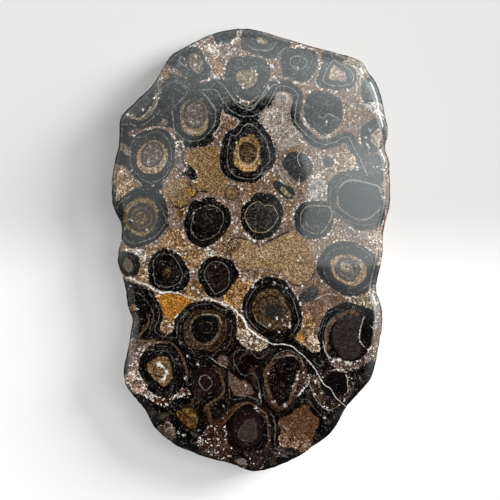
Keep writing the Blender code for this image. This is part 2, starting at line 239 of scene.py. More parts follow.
pattern["cores"] = [
    ("dustyTan", [(-31.2, 97), (-29, 98.6), (-26.2, 97.8), (-23.9, 94.6), (-23.7, 90.6), (-25.5, 88.4),
        (-28.5, 89.2), (-30.8, 92)]),
    ("dustyPale", [(2.5, 106), (5, 106.5), (8, 105), (9, 103.5), (7, 102.5), (4, 103)]),
    ("dustyGold", [(-8, 86), (-6.5, 89), (-3.5, 90.2), (0, 90), (3, 88.5), (3.5, 86), (2.5, 83), (0, 81),
        (-3, 80.5), (-6, 82.5)]),
    ("palePink", [(41, 93), (38.5, 86.5), (39.5, 85.2), (46, 84), (48, 85.5), (47, 89), (43.5, 91.3)]),
    ("palePink", [(59.5, 56), (61, 59), (64, 61), (66, 58), (66.5, 55), (65.5, 52), (64, 51), (61, 52.5),
        (59.8, 54)]),
    ("slateBlue", [(46, 27), (46.5, 23), (51.5, 18), (54.5, 16.8), (58, 17.3), (61, 19.5), (63.5, 22.5),
        (65, 26), (63.5, 30), (59, 31.7), (48.5, 31)]),
    ("dustyOlive", paths["oliveCore"]),
    ("ashGrey", paths["ashCore"]),
    ("charcoal", [(-3, 16), (-2.8, 18.5), (-1.5, 21), (0.5, 23), (3, 24), (4.5, 24), (6, 22.5), (10.5, 22.3),
        (12, 20.5), (13.5, 16.3), (12.8, 14.5), (10, 10.8), (8, 9.3), (5.5, 8.7), (0.5, 9.8), (-2, 13.5)]),
    ("bronze", [(14.4, 31.6), (16.5, 31.8), (18.6, 29.6), (20.8, 27.4), (19.6, 26), (17, 27), (15, 29.4)]),
    ("umber", paths["umberCore"]),
    ("pepper", [(7, -30.5), (8.2, -27.8), (11, -27), (14, -28.2), (15, -30.8), (13.6, -33.2), (11, -34),
        (8.2, -33)]),
    ("ashBrown", [(40.5, -42), (41.2, -38.5), (43.5, -35), (47, -32.6), (51, -32), (54.5, -33), (55.4, -36.5),
        (53.8, -43), (54.6, -47), (56, -49.6), (54, -53), (50, -54.8), (46, -54), (43, -50.5), (41, -46.5)]),
    ("blackCore", [(56.3, -33.5), (59, -39.5), (59.8, -43), (59.3, -46.5), (57.5, -48.6), (55.6, -47),
        (54.6, -43.5)]),
    ("blackCore", [(36.5, -66.5), (37.5, -63.5), (40, -61.8), (43.5, -61.6), (46.3, -63.5), (47.2, -67),
        (46.2, -70.5), (43, -73), (39.5, -72.5), (37, -70)]),
    ("umberDeep", paths["lowUmberCore"]),
    ("blackCore", [(-30, -38), (-28, -34.5), (-25, -33), (-20, -33), (-17, -34), (-16.3, -37), (-16.3, -40.5),
        (-18, -43.5), (-21, -46), (-24, -46.8), (-27, -45.5), (-29, -43), (-30, -40.5)]),
    ("darkBrown", paths["darkCore"]),
    ("dimGold", [(-43, -9), (-40.5, -8.5), (-39.5, -11), (-41, -14), (-43.5, -13.5), (-44.5, -11.5)]),
    ("darkBrown", [(-26, 15), (-24.5, 18.5), (-21.5, 19.6), (-18.4, 18.2), (-17, 15), (-18.2, 11.8),
        (-21.5, 10.4), (-25, 11.6)]),
    ("greyUmber", paths["greyUmberCore"]),
    ("ringDark", [(-48.8, 16.7), (-49.9, 20.3), (-52.9, 22.5), (-56.5, 22.5), (-59.5, 20.3), (-60.6, 16.7),
        (-59.5, 13.1), (-56.5, 10.9), (-52.9, 10.9), (-49.9, 13.1)]),
    ("mutedGold", [(-58.6, 16), (-57.6, 18.4), (-55.3, 19.4), (-52.8, 18.4), (-51.9, 16), (-52.9, 13.6),
        (-55.3, 12.6), (-57.7, 13.6)]),
    ("greyBrown", paths["greyCore"]),
    ("greyBrown", paths["greyCoreTop"]),
    ("warmUmber", paths["warmCore"]),
    ("goldBrown", [(-52.5, -58), (-50, -55.5), (-47, -53.5), (-44, -53), (-41.5, -54), (-40, -57),
        (-39, -62.5), (-40, -65.5), (-41.5, -67.3), (-44, -68.3), (-50, -63)]),
    ("maroon", [(-26.1, -66), (-25.6, -64), (-24.6, -62.9), (-22.1, -62.6), (-20.4, -64.2), (-19.6, -66.4),
        (-20.5, -68.5), (-22, -70), (-23.5, -69.8)]),
    ("oliveGold", [(-37.6, -82.2), (-36.2, -79.7), (-33.7, -78.7), (-30, -78.7), (-27.5, -80.5), (-26.2, -83),
        (-26.7, -86.3), (-27.9, -89.2), (-30, -89.4), (-32.5, -88), (-35, -85.7)]),
    ("maroon", [(5.8, -89.4), (4.4, -83.9), (0.7, -80.5), (-3.9, -80.5), (-7.6, -83.9), (-9, -89.4),
        (-7.6, -94.9), (-3.9, -98.3), (0.7, -98.3), (4.4, -94.9)]),
    ("ashWarm", [(-6.3, -90.9), (-4.4, -88.4), (0.6, -84.9), (2.6, -86.8), (3.3, -92.6), (1.8, -95),
        (-0.7, -95.5), (-3.6, -94.5), (-5.6, -93.4)]),
    ("coreGrey", [(-2.3, -85.2), (0.4, -84.4), (1.9, -86), (3, -89.9), (2.4, -94.5), (-1.3, -95.9),
        (-4.4, -94.8), (-6, -93.6), (-6.4, -90.8)]),
    ("darkBrown", [(-18.5, -81), (-16, -80), (-15, -82), (-17, -84)]),
    ("greenGrey", [(-63, -4), (-61, -4.2), (-59.5, -6), (-58.5, -9), (-60, -11.5), (-62, -11), (-64.5, -8)]),
    ("greenGold", [(-8.7, -105.5), (-7.3, -104.4), (-4, -104.4), (-1.9, -105.9), (-2.3, -108.3),
        (-6, -107.5)]),
    ("goldSpot", [(-61, -28.8), (-60.3, -27.4), (-59, -26.9), (-57.6, -27.5), (-57.1, -28.8), (-57.7, -30.2),
        (-59, -30.8), (-60.4, -30.1)]),
    ("dustyPale", [(44.6, -8), (45, -6.4), (47, -5.9), (49, -6.6), (50, -8.6), (49.4, -10.6), (47.6, -11.4),
        (45.6, -10.4)]),
    ("maroon", [(-28, -61), (-24, -59.5), (-18.5, -61), (-16.5, -65.5), (-17.5, -70), (-21, -71.4),
        (-24.6, -69.4), (-27.4, -65)]),
]
pattern["bands"] = [  # tone, brighter towards, gain, outer and inner edge
    ("goldPale", -120, 0.12, paths["oliveCore"],
        paths["ashCore"]),
    ("goldDim", 190, 0.15, [(-57, 26), (-52, 26), (-49, 24.5), (-47, 21.5), (-46.5, 17), (-48, 12), (-50, 9),
        (-54, 7), (-58, 7.5), (-61.5, 10), (-63.5, 14), (-63.7, 18.5), (-62, 22), (-59.5, 24.5)],
        paths["greyUmberCore"]),
    ("goldDusty", -110, 0.2, [(-50, 54.8), (-47, 54.8), (-44, 53), (-42, 50), (-41.5, 46.5), (-43, 42.5),
        (-45.5, 39.5), (-49, 38.3), (-53, 38.6), (-56.3, 41.5), (-57.2, 45), (-56.5, 49), (-54, 52.5)],
        paths["greyCore"]),
    ("goldMid", -70, 0.3, [(-35.5, 69), (-35.3, 64.5), (-34.5, 61), (-32.5, 58.5), (-29, 57), (-25.5, 57.5),
        (-22.5, 60), (-21.3, 64), (-21.5, 68), (-22.5, 72), (-25, 74.8), (-29, 75.3), (-33, 74), (-35, 71.5)],
        paths["greyCoreTop"]),
    ("gold", -100, 0.33, [(-0.5, 57.8), (1.5, 57), (3.8, 54), (4.8, 47), (4.5, 43.5), (2.5, 40.5), (0, 39.3),
        (-3, 39.2), (-6, 40.5), (-8, 43), (-8.8, 46.5), (-8.3, 50), (-6.8, 53.5), (-4.5, 56)],
        paths["warmCore"]),
    ("brownGold", 95, 0.2, paths["umberCore"],
        [(3.6, -26), (6, -23.6), (9, -22.6), (13, -23.2), (15.6, -26.2), (17.6, -30), (18.2, -34),
            (17.6, -37.4), (15.5, -38.6), (12, -39.2), (8, -37.4), (4.8, -34.6), (2.6, -31), (2.6, -28)]),
    ("ringBrown", 90, 0.25, [(6.8, -62), (7.5, -58), (9.5, -55.5), (13, -52.8), (17.5, -51.2), (22, -51.8),
        (25.5, -54.5), (27.5, -58), (28.6, -61.5), (27, -66), (20.5, -77.5), (16, -80), (12, -80), (9, -77.5),
        (7.5, -72)],
        [(10.5, -57), (12.5, -54.6), (21, -53), (23.5, -54.5), (24.5, -58), (24, -61.5), (20.5, -70),
            (19.5, -74), (17, -76.5), (14, -78), (11.5, -76), (10, -72), (9, -66), (9.5, -61)]),
    ("brownDim", 200, 0.2, paths["lowUmberCore"],
        [(-30.6, -40), (-30.6, -37.6), (-28.6, -34), (-25.2, -32.3), (-20, -32.2), (-16.4, -33.6),
            (-15.2, -37), (-15.2, -41), (-17, -44.6), (-20.4, -47.4), (-24, -47.6), (-27.6, -46.4),
            (-29.8, -43.8)]),
]
pattern["lines"] = [  # tone, half width in mm, path, and ring where it closes
    ("white", 0.5, [(8, 66), (9, 69), (12, 70), (15, 68.5), (16, 65), (14.6, 62), (11, 61),
        (8.4, 63)], "ring"),
    ("white", 0.35, [(13.5, 78), (16, 78.5), (18, 76.5), (17.8, 73.5), (16, 71.5)]),
    ("white", 0.45, [(15.5, 57), (18, 60), (21, 62), (22.5, 59.5), (20, 56)]),
    ("white", 0.4, [(12, 56), (15, 53), (19, 52), (23, 54)]),
    ("greyLine", 0.3, [(39.8, 30), (39.5, 24), (41, 20), (45, 16.5), (50, 14), (56, 12.5), (62, 13)]),
    ("pale", 0.28, [(-34, 97), (-36, 95), (-34.5, 93), (-32, 91.3)]),
    ("pale", 0.3, [(-2, 103), (0, 101), (3, 100), (9, 100), (12, 102), (12.5, 104)]),
    ("pale", 0.4, [(13.5, 97.5), (15.6, 99.8), (18, 101.5)]),
    ("pale", 0.3, [(-16, 84), (-14, 82.5), (-9, 75.5), (-6, 72), (-3, 70.8), (1, 71), (10, 81.5), (13, 83)]),
    ("pale", 0.28, paths["arch"]),
    ("pale", 0.28, [(19.5, 94), (20.5, 96.5), (24, 97), (27.5, 95), (28, 93), (26, 91), (23.5, 90.3),
        (21, 91.3)], "ring"),
    ("pale", 0.3, [(40.5, 94.3), (36.8, 88), (36.2, 84.5), (38, 83), (43, 82), (48.5, 82.5), (51, 85),
        (50.8, 88.5), (47, 92), (42.5, 94)], "ring"),
    ("pale", 0.25, [(40, 97.5), (42.4, 95), (45, 92.5)]),
    ("pale", 0.3, [(34, 67), (36, 66), (38, 67.5), (39.5, 68), (44.5, 65)]),
    ("brownLine", 0.75, [(24.5, 69), (26, 65), (28.5, 61.5), (32, 58.5), (36, 56), (44.5, 61), (48, 62)]),
    ("pale", 0.3, paths["bend"]),
    ("brownLine", 0.9, [(-49.7, 16), (-50.6, 18.9), (-53.1, 20.7), (-56.1, 20.7), (-58.6, 18.9), (-59.5, 16),
        (-58.6, 13.1), (-56.1, 11.3), (-53.1, 11.3), (-50.6, 13.1)], "ring"),
    ("white", 0.35, [(17.5, 78.5), (18.8, 76.5), (19, 75)]),
    ("white", 0.4, [(24.5, 49.3), (23.3, 47), (23.3, 45), (24, 43), (24.8, 41.8)]),
    ("white", 0.4, [(24.2, 36), (24, 34), (22.5, 32), (22, 30)]),
    ("pale", 0.3, [(39.5, 24), (39.7, 21), (41, 18.5), (44, 16), (47, 14.5), (49.5, 12.5), (52, 11)]),
    ("brownLine", 0.88, [(43.5, 27), (43.3, 23.5), (45, 20.5), (51, 16), (55, 15.3), (59, 16), (62, 18),
        (64.5, 20.5)]),
    ("brownLine", 0.88, [(44, 31), (47, 34), (51, 35), (60, 33), (64, 31.5), (65.5, 28)]),
    ("cream", 0.3, [(40, 37.5), (44, 39.5), (48, 40.5), (52, 41.5)]),
    ("cream", 0.4, [(24.8, 15), (25, 18), (26.5, 20.5), (29, 22), (32.5, 22.3), (38.5, 21.8), (40, 19.5),
        (40.5, 17), (39.5, 14.5), (36.5, 9.8), (34.5, 8.3), (32, 8.2), (29.5, 9), (27, 10.5),
        (25.2, 12.5)], "ring"),
    ("pale", 0.25, [(27.5, 15.5), (27.8, 13.5), (29, 11.8), (30.5, 11)]),
    ("pale", 0.25, [(37, 10.5), (38.6, 9.4), (40.5, 8)]),
    ("pale", 0.28, [(37.3, -5), (38.5, -2), (41, 0), (45, 1.2), (49, 1.5)]),
    ("pale", 0.28, [(52, 2.5), (56, 0.5), (59.5, -2.5), (61.5, -6.5), (61.8, -10)]),
    ("pale", 0.28, [(36.8, -8), (36.5, -10.5), (38, -13.5)]),
    ("pale", 0.28, [(55, -20), (58, -18), (60.5, -15.5)]),
    ("cream", 0.35, [(-3, 16), (-2.8, 18.5), (-1.5, 21), (0.5, 23), (3, 24), (4.5, 24), (6, 22.5),
        (10.5, 22.3), (12, 20.5), (13, 18.5), (13.5, 16.3), (12.8, 14.5), (10, 10.8), (8, 9.3), (5.5, 8.7),
        (3, 9), (0.5, 9.8), (-2, 13.5)], "ring"),
    ("cream", 0.3, [(-5.5, 18.8), (-3.5, 18.8)]),
    ("white", 0.35, [(12.8, 40), (14.5, 37.5), (16, 35.3), (15.5, 34), (17, 32.5)]),
    ("brownLine", 1, [(13, 40), (17, 36.5), (20.5, 33), (22.5, 30)]),
    ("pale", 0.3, [(4, -18), (2, -19.5), (-1.5, -25), (-2.5, -28.5), (-2.3, -32), (-1, -35), (3.5, -40)]),
    ("pale", 0.3, [(12, -17), (15, -18), (19.5, -22.5), (21.5, -26), (23.5, -33), (24, -36), (22.5, -39.5),
        (20, -43)]),
    ("greyLine", 0.3, [(34.5, -41), (35.5, -37), (37, -33), (39.5, -31), (44, -29)]),
    ("greyLine", 0.3, [(36.8, -45), (37, -41), (38, -37.5), (40, -34.5), (43, -32.5), (46, -31.3)]),
    ("brownLine", 1.6, [(38.5, -50), (38, -46), (38.3, -41), (39.5, -37.5), (42, -34.5), (46, -32), (50, -31),
        (54, -32)]),
    ("greyLine", 0.35, [(37.7, -52), (37.1, -47.4), (37.5, -41.5), (38.9, -37.4), (41.8, -33.9), (46.5, -31),
        (51.1, -29.8), (55.8, -31)]),
    ("pale", 0.25, [(36.7, -42), (38.3, -37.3), (41.6, -33.4)]),
    ("white", 0.35, [(57, -33.5), (55.8, -35.5), (54.3, -43), (54.7, -46), (56.5, -48.3)]),
    ("white", 0.55, [(37.5, -45.5), (36.8, -49), (37.5, -51), (39.5, -54.5)]),
    ("greyLine", 0.35, [(-36.5, -36.5), (-34.5, -33.5), (-31.5, -30.5), (-28.5, -28.3), (-25, -27.3),
        (-20, -27), (-17.5, -28.5), (-14.5, -29.8), (-11.5, -30)]),
    ("greyLine", 0.35, [(-36.8, -37), (-36.8, -41), (-37.3, -44)]),
    ("brownLine", 0.38, [(-33.3, -40), (-33.3, -37), (-31.5, -35), (-29.5, -32), (-27, -30.5), (-19, -30.5),
        (-15, -32), (-12.8, -34), (-12.3, -37.5), (-12.5, -41), (-13.5, -44.5), (-16, -48), (-19.5, -50.5),
        (-23, -49.5), (-27, -49.5), (-30, -48.5), (-32.5, -46), (-33.3, -43)], "ring"),
    ("cream", 0.4, [(-25, -32.2), (-21.5, -32), (-17.5, -32.5), (-15.5, -34.5), (-14.5, -38)]),
    ("brownLine", 0.38, [(-25.5, -37), (-23, -36), (-20.5, -36.5), (-19.5, -39), (-21, -41.3), (-24, -41.3)]),
    ("brownLine", 0.38, [(-13, -49.5), (-10.5, -46), (-10, -42), (-9.5, -38), (-9.8, -34.5)]),
    ("pale", 0.32, paths["darkCore"], "ring"),
    ("pale", 0.28, [(-44, -1.8), (-47, -3), (-48.8, -6), (-48.8, -10), (-48.3, -15), (-47, -17.5),
        (-42, -18.5), (-37, -17), (-35, -15), (-34.3, -12), (-35.5, -8.5), (-37.5, -5), (-40, -2.5)], "ring"),
    ("pale", 0.32, [(-29.3, 15), (-28.5, 18.5), (-26.5, 20.5), (-20, 22.5), (-14.8, 19.5), (-13.8, 17),
        (-13.8, 14), (-16.5, 8.5), (-19, 6.8), (-22, 5.3), (-24.8, 4.8), (-27, 6), (-29, 8),
        (-30, 10.5)], "ring"),
    ("pale", 0.25, [(-23, 20.3), (-18, 20.6)]),
    ("pale", 0.3, [(-67, 20), (-66, 23), (-63, 25.5), (-60, 27.5)]),
    ("pale", 0.3, [(-45, 22), (-43.5, 18), (-42.5, 14), (-46, 9), (-49, 6), (-58, 3.3), (-61, 4),
        (-63.5, 6.5)]),
    ("pale", 0.28, [(-57, 56.5), (-54, 56.5), (-50, 58.5), (-47, 59), (-43.5, 57.5), (-41, 54), (-39.8, 49),
        (-39.8, 44), (-41.5, 39), (-44, 36), (-48, 34), (-50.5, 33.5), (-53, 34.5), (-56, 37), (-60, 42),
        (-60.5, 47), (-60, 52), (-58.5, 55)], "ring"),
    ("pale", 0.35, [(-39.5, 70), (-38.8, 66), (-38.5, 61), (-36.5, 58), (-33.5, 55.5), (-30, 54.5),
        (-26, 54.8), (-22.5, 57), (-20, 60), (-18.5, 62.5), (-17.8, 65), (-17.5, 69), (-18.5, 72),
        (-20, 73.5), (-22.5, 77), (-25, 79)]),
    ("pale", 0.32, [(-1.5, 63.2), (1, 62.5), (3.5, 60), (5.8, 57), (7.5, 54), (8.8, 50.5), (9.3, 47),
        (9.2, 44), (5.5, 40.5), (5, 38.5), (3, 36.5), (0.5, 35.5), (-6, 36.2), (-9, 38), (-11, 40.5),
        (-11.8, 43.5), (-11.8, 47), (-10.5, 56.3), (-7.5, 57.2), (-5.5, 59), (-3.5, 62)], "ring"),
    ("pale", 0.28, [(0.5, 37.3), (4, 37.8), (7, 38.5), (9.5, 40.3)]),
    ("cream", 0.6, [(-6.5, 52), (-6, 45.5), (-4, 43), (-1, 42.2), (1, 43), (3, 46), (3.3, 49)]),
    ("pale", 0.28, [(-48, -51), (-45, -50.3), (-42, -50.8), (-40, -53), (-38.5, -56), (-38.3, -58.5)]),
    ("pale", 0.28, [(-40, -67.7), (-39.3, -69.3), (-40.1, -71.8), (-41.4, -73.7)]),
    ("pale", 0.45, [(-26.1, -66), (-25.6, -64), (-24.6, -62.9), (-22.1, -62.6), (-20.4, -64.2),
        (-19.6, -66.4), (-20.5, -68.5), (-22, -70), (-23.5, -69.8), (-25, -68.1)], "ring"),
    ("brownLine", 0.75, [(-13.5, -85.9), (-10.2, -83), (-8.6, -80.6), (-6.5, -78.5), (-4, -77.3),
        (-0.3, -76.6), (5.9, -80.6), (8, -83.9), (8.8, -91.3), (8.8, -95.5), (8, -98), (6.8, -99.7)]),
    ("brownLine", 1, [(-17.7, -60.2), (-15.2, -62.3), (-13.9, -66.4), (-13.5, -70.6), (-14.8, -72.6),
        (-16.9, -74.7), (-22.7, -78), (-21.4, -79), (-20, -86)]),
    ("greyLine", 0.3, [(-8.5, -60), (-8.5, -52), (-6.5, -50.3), (-3, -50), (0, -50.5), (1.5, -52.5),
        (3.5, -54), (6, -53.5), (9, -50.5)]),
    ("greyLine", 0.3, [(-8.2, -56), (-6.9, -59.4), (-5.3, -61.5), (-2.8, -62.8), (-0.3, -61.7), (2.2, -62.4),
        (3.9, -67.7), (4.3, -70.6)]),
    ("white", 0.4, [(4.3, -70.6), (4.5, -73.5), (5.1, -76)]),
    ("pale", 0.3, [(10, -57), (11.5, -53.5), (14, -51.5), (17, -50.3), (20, -50.5), (23, -52), (25, -54.5),
        (26.5, -58)]),
    ("pale", 0.28, [(12, -54), (15, -53.3), (18, -52.7), (21, -53), (23.5, -55)]),
    ("brownLine", 1.4, [(12, -56), (10.1, -57.4), (7.2, -60.7), (7.5, -66), (10.5, -74.8), (12.2, -77.3),
        (15, -79), (18, -77.3), (20, -74.8), (21.2, -70.6), (25, -62)]),
    ("white", 0.4, [(40, -60.5), (43.4, -59.4), (46.4, -60.3), (48, -63.6), (48.4, -67.7), (49.9, -70.2)]),
    ("greyLine", 0.3, [(50.5, -66), (51.3, -69), (51, -72), (48, -74)]),
    ("pale", 0.3, [(30, -68.1), (31, -69.8), (31.8, -72.3), (34.3, -74.8), (35.1, -77.3), (38, -79.8),
        (41.3, -79.3), (43.8, -77.7)]),
    ("greyLine", 0.3, [(-60, -21), (-57, -21.3), (-54.5, -23), (-52.3, -25.5), (-49.2, -30.5), (-48.7, -33),
        (-49.3, -36), (-50.3, -38.5), (-50.7, -42)]),
    ("greyLine", 0.3, [(-53, -18.5), (-49.5, -23), (-46.5, -29), (-45.8, -32), (-46.3, -35), (-47.5, -37.5),
        (-48, -40), (-47, -42), (-44, -43.3), (-40, -43.8)]),
    ("white", 0.3, [(-37.2, -41), (-37, -38.5)]),
    ("brownLine", 0.88, [(-52, -32), (-51, -35), (-51.5, -37.5), (-55, -42), (-57, -44)]),
    ("pale", 0.25, [(-41, 83), (-38, 84), (-36, 83.5), (-32, 78.7), (-39, 71)]),
    ("pale", 0.25, [(-36, 85), (-31, 80.5)]),
    ("pale", 0.28, [(-65, 62.5), (-62, 63), (-59, 62.7), (-57, 62)]),
    ("pale", 0.28, [(-55, 62), (-51, 64.5), (-47, 68), (-45, 70)]),
    ("pale", 0.25, [(-46, 63.5), (-43, 61), (-40.5, 60)]),
    ("pale", 0.25, [(-25, 79), (-21.5, 76), (-20, 73), (-18, 70)]),
    ("cream", 0.6, [(-47.5, 78), (-47, 74), (-48.5, 71), (-52, 69), (-53.5, 67), (-56, 65.5), (-62, 67.5)]),
    ("pale", 0.5, [(-47, 85), (-46, 80), (-45, 78)]),
    ("white", 0.4, [(-14, 70), (-15, 66), (-15.5, 62), (-19, 57)]),
    ("white", 0.4, [(-9, 66.5), (-6.3, 65), (-6.3, 63.5), (-8, 61.5), (-10, 60.2)]),
    ("white", 0.35, [(16.5, 16.5), (20.5, 16), (21, 19)]),
    ("white", 0.4, [(32, -45), (31, -51), (28, -48), (23, -44.5)]),
    ("white", 0.35, [(26, -36), (25.5, -39.5)]),
    ("white", 0.5, [(33, -24.2), (36, -22.8), (39, -22), (43, -22.6)]),
    ("white", 0.4, [(12.6, 42.8), (14, 40), (15, 37.4), (16.6, 35)]),
    ("cream", 0.35, [(16.4, 38), (19.5, 34), (22, 31.5)]),
    ("brownLine", 0.88, [(-59, -45), (-55, -45), (-52, -45.5), (-49, -45), (-46, -45.8), (-42, -46),
        (-39, -47), (-36.5, -50), (-34.5, -53.5), (-33, -57)]),
    ("greyLine", 0.35, [(-11, -60), (-10.8, -70.6), (-10.4, -73.9), (-8.6, -74.8), (-5.2, -74.4),
        (-3.6, -73.1), (-0.3, -73.3), (2.2, -74.4), (4.7, -76)]),
    ("white", 0.35, [(-20, -54), (-16, -57), (-12, -59)]),
    ("brownLine", 0.44, [(-20, -54), (-17.5, -51), (-13, -49.5)]),
    ("white", 0.5, [(15.9, -88.1), (18.6, -89.9)]),
    ("greyLine", 0.28, [(-6, -93.4), (-6.2, -90.8), (-4.4, -88), (-2.3, -85.4), (-0.4, -84.6)]),
    ("greyLine", 0.3, [(-5.6, -94.2), (-3, -95.4), (-0.4, -95.8)]),
    ("greyLine", 0.4, [(9.7, -81.3), (11.5, -84.5), (12.3, -90), (11.8, -96), (12.5, -99.2), (17, -100.5)]),
    ("greyLine", 0.5, [(10.1, -100.9), (13.4, -101.7), (15.9, -102.6), (18.8, -103.8)]),
    ("greyLine", 0.3, [(24.8, -75.2), (27.3, -74.4), (29.8, -76.5), (34.3, -82.3), (38.9, -85),
        (37.2, -86.9)]),
    ("pale", 0.3, [(31.5, -55.5), (33.5, -57.5), (36.5, -57.5), (35, -55)]),
    ("pale", 0.35, [(-13, 81), (-8, 75), (-1, 71.8), (2, 73), (4.5, 76), (9, 83)]),
    ("white", 0.4, [(-5, -104.3), (-3, -105)]),
    ("white", 0.35, [(56.1, -33.3), (54.2, -42.6), (55, -46.3), (56.8, -48.4)]),
    ("white", 0.4, [(36, -46), (36.3, -48), (37.2, -50)]),
    ("white", 0.6, [(57, 73), (60, 72), (63, 70), (66, 67.5), (67.5, 66)]),
    ("white", 0.5, [(52.5, 84), (53, 81.5), (52.8, 79)]),
    ("white", 0.5, [(55.2, 87.5), (54.4, 84.5)]),
    ("white", 0.3, [(29, -66.3), (30.4, -70), (32.4, -74.6), (36.4, -79), (40.9, -80.4)]),
    ("darkLine", 0.9, paths["hookLine"]),
    ("darkLine", 0.7, paths["ochreLine"]),
    ("darkLine", 0.6, paths["ochreLow"]),
    ("darkLine", 0.6, paths["ochreRight"]),
    ("darkLine", 0.6, paths["ochreBase"]),
    ("darkLine", 0.7, paths["ochreTop"]),
    ("darkLine", 0.7, [(-41, 26), (-39.5, 23.4), (-36.5, 21.6), (-33.5, 21.8), (-31.4, 23.4)]),
    ("darkLine", 0.6, [(-29.8, 25.6), (-29.4, 30), (-30.6, 34.2)]),
    ("darkLine", 0.6, [(-6, 28.7), (-7, 31.2), (-9.5, 32.3), (-12, 31.2), (-13, 28.7), (-12, 26.2),
        (-9.5, 25.1), (-7, 26.2)], "ring"),
    ("darkLine", 0.7, [(-42.2, -60.2), (-43.1, -57.8), (-45.4, -56.8), (-47.7, -57.8), (-48.6, -60.2),
        (-47.7, -62.6), (-45.4, -63.6), (-43.1, -62.6)], "ring"),
    ("darkLine", 0.8, [(1.2, -29), (2.6, -26.6), (5, -24.6), (8, -23.2), (11, -23), (14, -24.4),
        (18.5, -30.5)]),
    ("cream", 0.3, [(1, -30.5), (2, -33.6), (4, -36.4), (6.5, -37.8), (8.5, -39.2)]),
    ("cream", 0.3, [(10.4, -39.8), (12.6, -38.4), (14.2, -36.8)]),
    ("white", 0.4, [(19.4, -35.6), (19.6, -38.2)]),
    ("cream", 0.35, [(14, -24), (15.8, -26.2), (17.4, -28.6)]),
    ("darkLine", 1, [(42.2, -8), (42.6, -10.5), (44.5, -13), (47, -14.6), (49.5, -15.6), (51.5, -15.2)]),
    ("brownLine", 0.5, [(43.4, -9.8), (45.6, -10.9), (47.4, -12), (49.4, -14)]),
    ("darkLine", 0.6, [(43.8, -6.6), (46, -4.8), (49.5, -4.6), (52.6, -6.4), (54.4, -9.4), (53.4, -12.6)]),
    ("cream", 0.35, [(52, -15.6), (53.6, -14), (54.8, -12.2), (55.4, -9.4), (54.6, -6.6)]),
    ("white", 0.35, [(54.8, -4.6), (54.8, -6.6)]),
    ("cream", 0.35, [(11.6, -54.2), (14, -53.9), (16.4, -53.4)]),
    ("cream", 0.35, [(17.4, -52.6), (20, -52.4), (23, -53.6)]),
    ("cream", 0.4, [(24.6, -62), (23.4, -64.4), (22.6, -66.8), (20.8, -69.6)]),
    ("pale", 0.35, [(15.4, -77.6), (17, -76.8), (18.8, -76.6)]),
    ("white", 0.45, [(4.2, -71), (4.6, -73.8), (5.1, -75.8)]),
    ("brownLine", 0.62, [(-5, -77), (-1, -76.2), (2.5, -78.2), (5.5, -80.2), (8, -83.5)]),
    ("brownLine", 1, [(-34.5, -53.5), (-33, -57), (-32.2, -60.5), (-32.2, -66)]),
]
